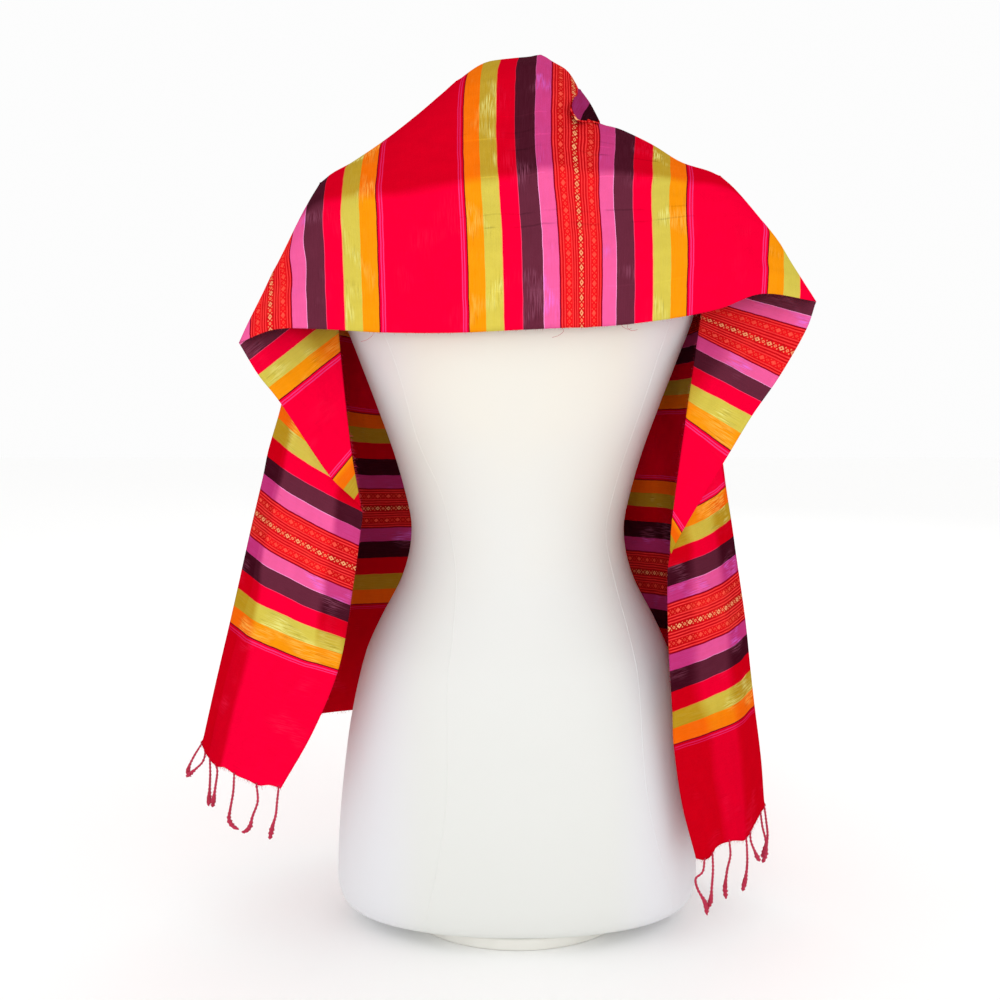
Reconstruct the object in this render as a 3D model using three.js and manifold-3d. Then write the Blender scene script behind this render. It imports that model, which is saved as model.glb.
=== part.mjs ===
// A striped wrap scarf draped over a limbless dress form, millimetres, +Z up.
// The form's back faces -Y and its front faces +Y. The origin is the middle of the base board's underside.
// The scarf is one long woven strip. STATION is the distance along that strip from the middle of its
// centre motif band: negative to the left of the form, positive to the right.

import * as THREE from "three";
import { mergeVertices } from "three/addons/utils/BufferGeometryUtils.js";
import Module from "manifold-3d";

const wasm = await Module();
wasm.setup();

// ---------------------------------------------------------------- driving dimensions

const CLOTH_WALL = 1.2;
const SEAM_GAP = 0.3;
const GRID_PITCH = 27; // how far apart the points of a cloth wall lie

const BOARD_THICKNESS = 14;
const BOARD_HALF_WIDTH = 122;
const BOARD_HALF_DEPTH = 104;
const BOARD_EDGE_ROUND = 3;

const FORM_BOTTOM = BOARD_THICKNESS + SEAM_GAP;
const FORM_SIDES = 44;

const STRIP_HEIGHT = 5; // woven heading that the fringe is knotted into
const STRAND_RADIUS = 1.5;
const STRAND_SIDES = 3;
const STRAND_STEPS = 4;

const RED_CLOTH = "#d8062c";
const DEEP_RED_CLOTH = "#b00a2a";
const ORANGE_CLOTH = "#f2931b";
const PINK_CLOTH = "#d9509a";
const FORM_COVER = "#f1efe4";
const BOARD_PAINT = "#e4e3dc";

// ---------------------------------------------------------------- the form's level sections

// Each row is one level section: half its width, and how far it reaches to the front and to the back.
// A squareness of 2 is an ellipse, and a higher one is fuller at the corners.
const FORM_SECTIONS = [
  { level: FORM_BOTTOM, halfWidth: 176, front: 98, back: 102, squareness: 2.2 },
  { level: 19, halfWidth: 188, front: 106, back: 112, squareness: 2.2 },
  { level: 30, halfWidth: 196, front: 111, back: 118, squareness: 2.2 },
  { level: 50, halfWidth: 199, front: 113, back: 121, squareness: 2.2 },
  { level: 110, halfWidth: 196, front: 114, back: 121, squareness: 2.2 },
  { level: 168, halfWidth: 190, front: 113, back: 118, squareness: 2.2 },
  { level: 230, halfWidth: 181, front: 109, back: 112, squareness: 2.2 },
  { level: 297, halfWidth: 165, front: 101, back: 101, squareness: 2.2 },
  { level: 334, halfWidth: 149, front: 94, back: 91, squareness: 2.1 },
  { level: 376, halfWidth: 127, front: 84, back: 79, squareness: 2.1 },
  { level: 407, halfWidth: 117, front: 79, back: 73, squareness: 2.1 },
  { level: 438, halfWidth: 114, front: 79, back: 71, squareness: 2.1 },
  { level: 468, halfWidth: 119, front: 84, back: 73, squareness: 2.1 },
  { level: 516, halfWidth: 132, front: 103, back: 82, squareness: 2.1 },
  { level: 571, halfWidth: 151, front: 124, back: 94, squareness: 2.2 },
  { level: 617, halfWidth: 168, front: 129, back: 103, squareness: 2.2 },
  { level: 660, halfWidth: 183, front: 120, back: 106, squareness: 2.3 },
  { level: 710, halfWidth: 192, front: 102, back: 102, squareness: 2.3 },
  { level: 750, halfWidth: 196, front: 82, back: 88, squareness: 2.3 },
  { level: 776, halfWidth: 192, front: 62, back: 68, squareness: 2.2 },
  { level: 794, halfWidth: 174, front: 46, back: 52, squareness: 2.1 },
  { level: 812, halfWidth: 134, front: 40, back: 46, squareness: 2.0 },
  { level: 828, halfWidth: 92, front: 40, back: 46, squareness: 2.0 },
  { level: 842, halfWidth: 64, front: 42, back: 46, squareness: 2.0 },
  { level: 858, halfWidth: 51, front: 43, back: 45, squareness: 2.0 },
  { level: 880, halfWidth: 46, front: 42, back: 42, squareness: 2.0 },
  { level: 896, halfWidth: 42, front: 37, back: 38, squareness: 2.0 },
  { level: 906, halfWidth: 33, front: 29, back: 29, squareness: 2.0 },
  { level: 911, halfWidth: 20, front: 18, back: 15, squareness: 2.0 },
];

// ---------------------------------------------------------------- the cloth's guide lines

// Each table is one stretch of the cloth between two folds or edges. A row is one station along the strip,
// and its named columns are the points [x, y, z] that the cloth passes through across its width.
const BACK_COLUMNS = ["hem", "blade", "nape", "collar", "ridge"];
const NECK_COLUMNS = ["left", "middle", "right"];
const FLAP_COLUMNS = ["edge", "fold"];
const TAIL_COLUMNS = ["inner", "outer"];
const FRONT_COLUMNS = ["outer", "side", "breast", "centre"];

// Behind the form: from the hem, which hangs free, over the shoulder blades and the nape to the ridge
// that runs along the shoulders and over the top of the neck.
const BACK_ROWS = [
  { station: -342, hem: [-273, -75, 641], blade: [-273, -73, 643], nape: [-273, -71, 645],
    collar: [-273, -69, 647], ridge: [-273, -67, 649] },
  { station: -310, hem: [-242, -90, 649], blade: [-243, -82, 672], nape: [-244, -68, 692],
    collar: [-245, -52, 706], ridge: [-245, -35, 715] },
  { station: -265, hem: [-197, -104, 650], blade: [-199, -99, 705], nape: [-202, -76, 752],
    collar: [-204, -40, 783], ridge: [-205, 0, 797] },
  { station: -200, hem: [-134, -116, 647], blade: [-135, -114, 715], nape: [-137, -88, 782],
    collar: [-138, -46, 825], ridge: [-138, 2, 841] },
  { station: -127, hem: [-62, -124, 647], blade: [-63, -121, 730], nape: [-64, -88, 815],
    collar: [-65, -50, 874], ridge: [-65, 4, 901] },
  { station: -60, hem: [2, -126, 650], blade: [2, -122, 735], nape: [2, -84, 830],
    collar: [2, -52, 898], ridge: [2, 6, 924] },
  { station: -12, hem: [50, -125, 652], blade: [51, -122, 733], nape: [52, -84, 820],
    collar: [53, -50, 882], ridge: [53, 6, 907] },
  { station: 17, hem: [74, -124, 653], blade: [76, -120, 728], nape: [80, -84, 796],
    collar: [83, -46, 836], ridge: [83, 0, 857] },
  { station: 60, hem: [112, -123, 656], blade: [114, -118, 720], nape: [119, -84, 784],
    collar: [123, -44, 823], ridge: [125, 0, 840] },
  { station: 107, hem: [156, -118, 662], blade: [158, -110, 718], nape: [162, -80, 770],
    collar: [165, -42, 803], ridge: [167, 0, 816] },
  { station: 150, hem: [196, -107, 670], blade: [199, -98, 715], nape: [204, -70, 762],
    collar: [208, -36, 792], ridge: [209, 0, 804] },
  { station: 196, hem: [238, -96, 684], blade: [240, -88, 706], nape: [243, -68, 730],
    collar: [246, -46, 748], ridge: [247, -25, 758] },
  { station: 245, hem: [286, -75, 681], blade: [287, -74, 683], nape: [288, -73, 685],
    collar: [289, -71, 687], ridge: [290, -69, 689] },
];

// Over the top of the neck and down the throat, tucked behind the two front stretches.
const NECK_ROWS = [
  { station: 0, left: [-60, 5.8, 904], middle: [-2, 7.6, 923.5], right: [57, 7, 902] },
  { station: 38, left: [-54, 38, 894], middle: [0, 42, 905], right: [62, 38, 872] },
  { station: 78, left: [-50, 50, 862], middle: [3, 58, 866], right: [60, 50, 846] },
  { station: 130, left: [-34, 62, 816], middle: [3, 70, 816], right: [38, 64, 808] },
  { station: 175, left: [-12, 76, 774], middle: [2, 79, 773], right: [14, 77, 772] },
];

// The corner that turns under at each end of the back: from the free selvedge to the fold beside the form.
const LEFT_FLAP_ROWS = [
  { station: -278, edge: [-219, -9, 772], fold: [-203, -3, 784] },
  { station: -310, edge: [-246, -32, 712], fold: [-197, -16, 748] },
  { station: -350, edge: [-281, -67, 633], fold: [-189, -30, 709] },
  { station: -391, edge: [-261, -80, 604], fold: [-184, -44, 664] },
  { station: -426, edge: [-240, -88, 579], fold: [-180, -56, 627] },
  { station: -510, edge: [-189, -100, 505], fold: [-168, -84, 530] },
  { station: -556, edge: [-163, -102, 474], fold: [-159, -97, 484] },
];
const RIGHT_FLAP_ROWS = [
  { station: 164, edge: [223, -8, 785], fold: [208, -4, 788] },
  { station: 196, edge: [248, -22, 756], fold: [203, -14, 762] },
  { station: 225, edge: [274, -43, 716], fold: [199, -23, 735] },
  { station: 255, edge: [298, -64, 673], fold: [194, -33, 709] },
  { station: 292, edge: [287, -74, 648], fold: [188, -45, 677] },
  { station: 335, edge: [261, -83, 604], fold: [182, -56, 642] },
  { station: 391, edge: [232, -93, 564], fold: [173, -70, 594] },
  { station: 426, edge: [211, -99, 530], fold: [167, -79, 560] },
  { station: 512, edge: [164, -107, 451], fold: [154, -98, 467] },
  { station: 550, edge: [156, -106, 424], fold: [152, -102, 430] },
];

// The hanging ends. `inner` is the fold, and lower down the selvedge, beside the form. `outer` is the
// outline. `side`, `breast` and `centre` lead round the arm side to the other selvedge at centre front.
const LEFT_TAIL_ROWS = [
  { station: -285, inner: [-202, -4, 777], outer: [-208, 1, 779] },
  { station: -350, inner: [-189, -28, 709], outer: [-221, -5, 722] },
  { station: -430, inner: [-180, -54, 626], outer: [-235, -10, 651] },
  { station: -515, inner: [-167, -83, 524], outer: [-249, -12, 573] },
  { station: -566, inner: [-158, -97, 470], outer: [-266, -12, 518] },
  { station: -590, inner: [-159, -100, 449], outer: [-271, -12, 495] },
  { station: -650, inner: [-168, -100, 388], outer: [-288, -10, 430] },
  { station: -740, inner: [-184, -98, 305], outer: [-313, -5, 333] },
  { station: -800, inner: [-211, -96, 239], outer: [-332, 0, 262] },
  { station: -868, inner: [-247, -92, 175], outer: [-350, 5, 192] },
];
const RIGHT_TAIL_ROWS = [
  { station: 170, inner: [206, -4, 780], outer: [210, 1, 782] },
  { station: 250, inner: [194, -30, 710], outer: [206, -5, 723] },
  { station: 350, inner: [179, -57, 631], outer: [206, -8, 640] },
  { station: 430, inner: [167, -77, 557], outer: [211, -8, 563] },
  { station: 512, inner: [154, -96, 466], outer: [222, -7, 484] },
  { station: 560, inner: [152, -101, 420], outer: [231, -5, 436] },
  { station: 590, inner: [150, -102, 391], outer: [236, -4, 406] },
  { station: 650, inner: [153, -100, 322], outer: [248, -2, 336] },
  { station: 705, inner: [158, -98, 260], outer: [256, 0, 278] },
  { station: 740, inner: [160, -97, 225], outer: [262, 2, 237] },
  { station: 800, inner: [171, -96, 156], outer: [272, 6, 172] },
  { station: 848, inner: [186, -96, 102], outer: [278, 10, 117] },
];
const LEFT_FRONT_ROWS = [
  { station: -142, outer: [-78, 5, 890], side: [-73, 22, 887],
    breast: [-66, 36, 885], centre: [-56, 46, 883] },
  { station: -200, outer: [-138, 3.6, 840.5], side: [-116, 44, 836],
    breast: [-78, 68, 834], centre: [-32, 74, 836] },
  { station: -265, outer: [-205, 1.6, 796], side: [-168, 62, 778],
    breast: [-98, 100, 772], centre: [-10, 94, 775] },
  { station: -350, outer: [-221, -5, 722], side: [-186, 86, 705],
    breast: [-108, 130, 698], centre: [-10, 120, 700] },
  { station: -430, outer: [-235, -10, 651], side: [-182, 112, 628],
    breast: [-110, 148, 620], centre: [-12, 140, 622] },
  { station: -515, outer: [-249, -12, 573], side: [-176, 126, 545],
    breast: [-108, 152, 540], centre: [-14, 148, 542] },
  { station: -590, outer: [-271, -12, 495], side: [-168, 130, 472],
    breast: [-106, 152, 468], centre: [-16, 150, 470] },
  { station: -650, outer: [-288, -10, 430], side: [-172, 132, 411],
    breast: [-106, 152, 408], centre: [-17, 151, 410] },
  { station: -740, outer: [-313, -5, 333], side: [-184, 134, 319],
    breast: [-108, 152, 316], centre: [-18, 152, 318] },
  { station: -868, outer: [-350, 5, 192], side: [-211, 136, 186],
    breast: [-112, 152, 184], centre: [-20, 153, 186] },
];
const RIGHT_FRONT_ROWS = [
  { station: 35, outer: [100, 1.6, 850], side: [96, 22, 845],
    breast: [88, 38, 843], centre: [76, 48, 841] },
  { station: 75, outer: [139, 1.6, 832.5], side: [126, 40, 822],
    breast: [94, 66, 818], centre: [48, 76, 820] },
  { station: 110, outer: [169, 1.6, 815], side: [150, 54, 796],
    breast: [102, 86, 790], centre: [26, 86, 794] },
  { station: 150, outer: [209, 1.6, 803], side: [174, 66, 768],
    breast: [108, 106, 758], centre: [9, 100, 762] },
  { station: 250, outer: [206, -5, 723], side: [186, 88, 700],
    breast: [112, 132, 692], centre: [9, 122, 696] },
  { station: 350, outer: [206, -8, 640], side: [172, 104, 620],
    breast: [110, 150, 614], centre: [11, 142, 616] },
  { station: 430, outer: [211, -8, 563], side: [167, 108, 548],
    breast: [108, 153, 543], centre: [12, 149, 545] },
  { station: 512, outer: [222, -7, 484], side: [160, 112, 472],
    breast: [106, 153, 469], centre: [13, 152, 471] },
  { station: 590, outer: [236, -4, 406], side: [160, 114, 400],
    breast: [106, 153, 397], centre: [14, 153, 399] },
  { station: 705, outer: [256, 0, 278], side: [164, 116, 274],
    breast: [108, 153, 272], centre: [15, 153, 274] },
  { station: 848, outer: [278, 10, 117], side: [170, 119, 120],
    breast: [110, 153, 119], centre: [16, 153, 120] },
];

// The soft folds that fan out from the throat over the two front stretches.
const FRONT_FOLDS = { count: 3, depthAtTop: 9, depthAtHem: 4, startsAt: 0.3 };

// The fringe: how far along the bottom edge each strand is rooted, its length, and how far its tip has
// swung sideways and to the back. The strands that are seen from behind hang as they fell.
const LEFT_TAIL_STRANDS = [
  { along: 0.03, length: 44, swing: -14, back: 2 },
  { along: 0.14, length: 54, swing: -3, back: 2 },
  { along: 0.24, length: 50, swing: -5, back: -3 },
  { along: 0.5, length: 60, swing: -1, back: 3 },
  { along: 0.73, length: 54, swing: -9, back: 0 },
  { along: 0.96, length: 58, swing: -6, back: -2 },
];
const RIGHT_TAIL_STRANDS = [
  { along: 0.03, length: 58, swing: 1, back: 2 },
  { along: 0.19, length: 60, swing: 8, back: -3 },
  { along: 0.36, length: 58, swing: -2, back: 2 },
  { along: 0.57, length: 62, swing: 1, back: -2 },
  { along: 0.79, length: 64, swing: 2, back: 3 },
  { along: 0.95, length: 62, swing: 6, back: -3 },
];
const FRONT_STRAND_SPACING = 19;
const FRONT_STRAND_LENGTH = 57;
const FRONT_STRAND_UNEVENNESS = 5;
const FRONT_STRANDS_FROM = { left: 0.52, right: 0.13 }; // the edge beside the outline fold is bare

// ---------------------------------------------------------------- curves through the guide points

// A smooth value through the values at growing or falling marks, in the manner of a Catmull-Rom spline.
function smoothThrough(marks, values, mark) {
  const last = marks.length - 1;
  const forward = marks[last] > marks[0] ? 1 : -1;
  let i = 0;
  while (i < last - 1 && (mark - marks[i + 1]) * forward > 0) i += 1;
  const span = marks[i + 1] - marks[i];
  const t = THREE.MathUtils.clamp((mark - marks[i]) / span, 0, 1);
  const slope = (k) => {
    const before = Math.max(k - 1, 0);
    const after = Math.min(k + 1, last);
    return (values[after] - values[before]) / (marks[after] - marks[before]);
  };
  const t2 = t * t;
  const t3 = t2 * t;
  return (
    values[i] * (2 * t3 - 3 * t2 + 1) +
    slope(i) * span * (t3 - 2 * t2 + t) +
    values[i + 1] * (3 * t2 - 2 * t3) +
    slope(i + 1) * span * (t3 - t2)
  );
}

function pointThrough(marks, points, mark) {
  const axis = (k) => smoothThrough(marks, points.map((point) => point[k]), mark);
  return new THREE.Vector3(axis(0), axis(1), axis(2));
}

function chordMarks(points) {
  const marks = [0];
  for (let i = 1; i < points.length; i += 1) {
    marks.push(marks[i - 1] + points[i].distanceTo(points[i - 1]));
  }
  return marks.map((mark) => mark / marks[marks.length - 1]);
}

// The point of a stretch at a station, a share of the way across from its first column to its last.
function stretchPoint(rows, columns, station, across) {
  const stations = rows.map((row) => row.station);
  const guides = columns.map((column) => pointThrough(stations, rows.map((row) => row[column]), station));
  return pointThrough(chordMarks(guides), guides.map((guide) => guide.toArray()), across);
}

// ---------------------------------------------------------------- walls of cloth

// A grid of points on the middle of a cloth stretch. reliefAt gives how far a point is pushed along +Y.
function stretchGrid(rows, columns, from = 0, to = 1, reliefAt = () => 0) {
  const first = rows[0].station;
  const last = rows[rows.length - 1].station;
  const lengthways = Math.ceil(Math.abs(last - first) / GRID_PITCH);
  const middle = stretchPoint(rows, columns, (first + last) / 2, from);
  const width = middle.distanceTo(stretchPoint(rows, columns, (first + last) / 2, to));
  const crossways = Math.max(4, Math.ceil((width * (columns.length > 3 ? 1.6 : 1)) / GRID_PITCH));
  const grid = [];
  for (let i = 0; i <= lengthways; i += 1) {
    const station = first + ((last - first) * i) / lengthways;
    const line = [];
    for (let j = 0; j <= crossways; j += 1) {
      const across = from + ((to - from) * j) / crossways;
      const point = stretchPoint(rows, columns, station, across);
      point.y += reliefAt(i / lengthways, across);
      line.push(point);
    }
    grid.push(line);
  }
  return grid;
}

function gridNormal(grid, i, j) {
  const rows = grid.length - 1;
  const columns = grid[0].length - 1;
  const along = grid[Math.min(i + 1, rows)][j].clone().sub(grid[Math.max(i - 1, 0)][j]);
  const across = grid[i][Math.min(j + 1, columns)].clone().sub(grid[i][Math.max(j - 1, 0)]);
  return along.cross(across).normalize();
}

// A closed wall of even thickness round a grid of middle points.
function wallGeometry(grid, thickness) {
  const rowCount = grid.length;
  const columnCount = grid[0].length;
  const positions = [];
  for (const side of [0.5, -0.5]) {
    for (let i = 0; i < rowCount; i += 1) {
      for (let j = 0; j < columnCount; j += 1) {
        const point = grid[i][j].clone().addScaledVector(gridNormal(grid, i, j), side * thickness);
        positions.push(point.x, point.y, point.z);
      }
    }
  }
  const upper = (i, j) => i * columnCount + j;
  const lower = (i, j) => rowCount * columnCount + upper(i, j);
  const index = [];
  const quad = (a, b, c, d) => index.push(a, b, c, a, c, d);
  for (let i = 0; i < rowCount - 1; i += 1) {
    for (let j = 0; j < columnCount - 1; j += 1) {
      quad(upper(i, j), upper(i + 1, j), upper(i + 1, j + 1), upper(i, j + 1));
      quad(lower(i, j), lower(i, j + 1), lower(i + 1, j + 1), lower(i + 1, j));
    }
  }
  const rim = [];
  for (let j = 0; j < columnCount - 1; j += 1) rim.push([0, j]);
  for (let i = 0; i < rowCount - 1; i += 1) rim.push([i, columnCount - 1]);
  for (let j = columnCount - 1; j > 0; j -= 1) rim.push([rowCount - 1, j]);
  for (let i = rowCount - 1; i > 0; i -= 1) rim.push([i, 0]);
  rim.forEach(([i, j], k) => {
    const [nextI, nextJ] = rim[(k + 1) % rim.length];
    quad(upper(i, j), upper(nextI, nextJ), lower(nextI, nextJ), lower(i, j));
  });
  const geometry = new THREE.BufferGeometry();
  geometry.setAttribute("position", new THREE.Float32BufferAttribute(positions, 3));
  geometry.setIndex(index);
  return facingOut(geometry);
}

function signedVolume(geometry) {
  const position = geometry.getAttribute("position");
  const corner = (k) => new THREE.Vector3().fromBufferAttribute(position, geometry.index.getX(k));
  let volume = 0;
  for (let k = 0; k < geometry.index.count; k += 3) {
    volume += corner(k).dot(corner(k + 1).cross(corner(k + 2))) / 6;
  }
  return volume;
}

function facingOut(geometry) {
  if (signedVolume(geometry) < 0) {
    const index = Array.from(geometry.index.array);
    for (let k = 0; k < index.length; k += 3) {
      [index[k + 1], index[k + 2]] = [index[k + 2], index[k + 1]];
    }
    geometry.setIndex(index);
  }
  geometry.computeVertexNormals();
  return geometry;
}

function frontRelief(down, across) {
  const { count, depthAtTop, depthAtHem, startsAt } = FRONT_FOLDS;
  if (across <= startsAt) return 0;
  const share = (across - startsAt) / (1 - startsAt);
  const fadeIn = Math.sin(Math.min(down / 0.3, 1) * (Math.PI / 2));
  const depth = THREE.MathUtils.lerp(depthAtTop, depthAtHem, down) * fadeIn;
  return depth * Math.sin(share * count * Math.PI) ** 2;
}

// ---------------------------------------------------------------- fringe

function solidOf(geometry) {
  const bare = new THREE.BufferGeometry();
  bare.setAttribute("position", geometry.getAttribute("position"));
  bare.setIndex(geometry.index);
  const merged = mergeVertices(bare, 1e-4);
  const vertProperties = new Float32Array(merged.getAttribute("position").array);
  const triVerts = new Uint32Array(merged.index.array);
  return new wasm.Manifold(new wasm.Mesh({ numProp: 3, vertProperties, triVerts }));
}

function geometryOf(solid) {
  const mesh = solid.getMesh();
  const geometry = new THREE.BufferGeometry();
  geometry.setAttribute("position", new THREE.Float32BufferAttribute(mesh.vertProperties, 3));
  geometry.setIndex(Array.from(mesh.triVerts));
  geometry.computeVertexNormals();
  return geometry;
}

// The bottom edge of a stretch, as points along its last row.
function bottomEdge(rows, columns, from, to, steps, reliefAt = () => 0) {
  const station = rows[rows.length - 1].station;
  const edge = [];
  for (let k = 0; k <= steps; k += 1) {
    const across = from + ((to - from) * k) / steps;
    const point = stretchPoint(rows, columns, station, across);
    point.y += reliefAt(1, across);
    edge.push(point);
  }
  return edge;
}

function strandGeometry(root, strand) {
  const top = root.clone();
  top.z -= STRIP_HEIGHT / 2;
  const bow = new THREE.Vector3(strand.swing * 0.25, strand.back * 1.6, -strand.length * 0.5);
  const tip = new THREE.Vector3(strand.swing, strand.back, -strand.length);
  const route = new THREE.CatmullRomCurve3([top, top.clone().add(bow), top.clone().add(tip)]);
  const section = new THREE.Shape();
  for (let k = 0; k < STRAND_SIDES; k += 1) {
    const turn = (k / STRAND_SIDES) * Math.PI * 2;
    const corner = [STRAND_RADIUS * Math.cos(turn), STRAND_RADIUS * Math.sin(turn)];
    if (k === 0) section.moveTo(...corner);
    else section.lineTo(...corner);
  }
  section.closePath();
  return new THREE.ExtrudeGeometry(section, { steps: STRAND_STEPS, extrudePath: route, bevelEnabled: false });
}

// The narrow strip just below the cloth's bottom edge, with its strands fused into it.
function fringeGeometry(edge, strands) {
  const grid = [SEAM_GAP + STRIP_HEIGHT, SEAM_GAP].map((drop) =>
    edge.map((point) => new THREE.Vector3(point.x, point.y, point.z - drop)),
  );
  const lengths = chordMarks(edge);
  let fringe = solidOf(wallGeometry(grid, CLOTH_WALL));
  for (const strand of strands) {
    const root = pointThrough(lengths, grid[1].map((point) => point.toArray()), strand.along);
    const geometry = strandGeometry(root, strand);
    const welded = mergeVertices(geometry.deleteAttribute("normal").deleteAttribute("uv"), 1e-4);
    fringe = fringe.add(solidOf(facingOut(welded)));
  }
  return geometryOf(fringe);
}

// Strands at an even spacing, from a share of the way along the edge to its end.
function evenStrands(edge, from) {
  const length = edge.slice(1).reduce((sum, point, k) => sum + point.distanceTo(edge[k]), 0);
  const count = Math.round((length * (1 - from)) / FRONT_STRAND_SPACING);
  const strands = [];
  for (let k = 0; k < count; k += 1) {
    strands.push({
      along: from + ((1 - from) * (k + 0.5)) / count,
      length: FRONT_STRAND_LENGTH + FRONT_STRAND_UNEVENNESS * Math.sin(k * 2.4),
      swing: FRONT_STRAND_UNEVENNESS * Math.sin(k * 1.7),
      back: FRONT_STRAND_UNEVENNESS * 0.6 * Math.cos(k * 2.9),
    });
  }
  return strands;
}

// ---------------------------------------------------------------- the dress form

function formRing({ level, halfWidth, front, back, squareness }) {
  const ring = [];
  for (let k = 0; k < FORM_SIDES; k += 1) {
    const turn = (k / FORM_SIDES) * Math.PI * 2;
    const c = Math.cos(turn);
    const s = Math.sin(turn);
    const reach = s > 0 ? front : back;
    const x = halfWidth * Math.sign(c) * Math.abs(c) ** (2 / squareness);
    const y = reach * Math.sign(s) * Math.abs(s) ** (2 / squareness);
    ring.push(new THREE.Vector3(x, y, level));
  }
  return ring;
}

function formGeometry() {
  const rings = FORM_SECTIONS.map(formRing);
  const positions = rings.flat().flatMap((point) => point.toArray());
  const index = [];
  for (let i = 0; i < rings.length - 1; i += 1) {
    for (let k = 0; k < FORM_SIDES; k += 1) {
      const next = (k + 1) % FORM_SIDES;
      const a = i * FORM_SIDES + k;
      const b = i * FORM_SIDES + next;
      index.push(a, b, b + FORM_SIDES, a, b + FORM_SIDES, a + FORM_SIDES);
    }
  }
  const top = (rings.length - 1) * FORM_SIDES;
  for (let k = 1; k < FORM_SIDES - 1; k += 1) {
    index.push(0, k + 1, k);
    index.push(top, top + k, top + k + 1);
  }
  const geometry = new THREE.BufferGeometry();
  geometry.setAttribute("position", new THREE.Float32BufferAttribute(positions, 3));
  geometry.setIndex(index);
  return facingOut(geometry);
}

function boardGeometry() {
  const outline = new THREE.Shape();
  outline.absellipse(
    0, 0, BOARD_HALF_WIDTH - BOARD_EDGE_ROUND, BOARD_HALF_DEPTH - BOARD_EDGE_ROUND, 0, Math.PI * 2, false, 0,
  );
  const board = new THREE.ExtrudeGeometry(outline, {
    depth: BOARD_THICKNESS - 2 * BOARD_EDGE_ROUND,
    curveSegments: 24,
    bevelEnabled: true,
    bevelSize: BOARD_EDGE_ROUND,
    bevelThickness: BOARD_EDGE_ROUND,
    bevelSegments: 2,
  });
  board.translate(0, 0, BOARD_EDGE_ROUND);
  return board;
}

// ---------------------------------------------------------------- the named pieces

const FRONT_START = 0.005; // leaves the seam gap where the front stretch meets the outline fold
const TAIL_END = 0.01; // keeps the fringe's strip clear of the selvedge
const FRONT_STRIP_START = 0.02; // keeps the two strips apart at the outline fold
const EDGE_STEPS = 14;

function cloth(colour) {
  return new THREE.MeshStandardMaterial({ color: colour, roughness: 0.6, side: THREE.DoubleSide });
}

const model = new THREE.Group();

function addPiece(name, geometry, material) {
  const mesh = new THREE.Mesh(geometry, material);
  mesh.name = name;
  model.add(mesh);
}

function addWall(name, grid, material) {
  addPiece(name, wallGeometry(grid, CLOTH_WALL), material);
}

const boardPaint = new THREE.MeshStandardMaterial({ color: BOARD_PAINT, roughness: 0.5 });
const formCover = new THREE.MeshStandardMaterial({ color: FORM_COVER, roughness: 0.9 });
addPiece("base_board", boardGeometry(), boardPaint);
addPiece("form_body", formGeometry(), formCover);

addWall("scarf_back", stretchGrid(BACK_ROWS, BACK_COLUMNS), cloth(RED_CLOTH));
addWall("scarf_neck", stretchGrid(NECK_ROWS, NECK_COLUMNS), cloth(PINK_CLOTH));

const SIDES = [
  {
    side: "left", flapRows: LEFT_FLAP_ROWS, tailRows: LEFT_TAIL_ROWS, frontRows: LEFT_FRONT_ROWS,
    tailStrands: LEFT_TAIL_STRANDS,
  },
  {
    side: "right", flapRows: RIGHT_FLAP_ROWS, tailRows: RIGHT_TAIL_ROWS, frontRows: RIGHT_FRONT_ROWS,
    tailStrands: RIGHT_TAIL_STRANDS,
  },
];

for (const { side, flapRows, tailRows, frontRows, tailStrands } of SIDES) {
  addWall(`scarf_flap_${side}`, stretchGrid(flapRows, FLAP_COLUMNS), cloth(ORANGE_CLOTH));
  addWall(`scarf_tail_${side}`, stretchGrid(tailRows, TAIL_COLUMNS), cloth(RED_CLOTH));
  const front = stretchGrid(frontRows, FRONT_COLUMNS, FRONT_START, 1, frontRelief);
  addWall(`scarf_front_${side}`, front, cloth(DEEP_RED_CLOTH));
  const tailEdge = bottomEdge(tailRows, TAIL_COLUMNS, 1, TAIL_END, EDGE_STEPS);
  addPiece(`fringe_tail_${side}`, fringeGeometry(tailEdge, tailStrands), cloth(RED_CLOTH));
  const frontEdge = bottomEdge(frontRows, FRONT_COLUMNS, FRONT_STRIP_START, 1, EDGE_STEPS * 2, frontRelief);
  const frontStrands = evenStrands(frontEdge, FRONT_STRANDS_FROM[side]);
  addPiece(`fringe_front_${side}`, fringeGeometry(frontEdge, frontStrands), cloth(RED_CLOTH));
}

export default model;
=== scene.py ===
# %% [markdown]
# # A striped wrap scarf on a dress form
# The real thing is one long hand-woven strip. It lies over the neck and shoulders of a limbless form,
# and its two ends turn under at the shoulders and hang down at the sides. The solids of every piece are
# already in the frame, so this lesson dresses them: one continuous sheet of cloth with its stripes, the
# knotted fringe, the jersey cover of the form with its seams, and the board below.

# %% Load the frame and keep its size
import math
import random

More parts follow.
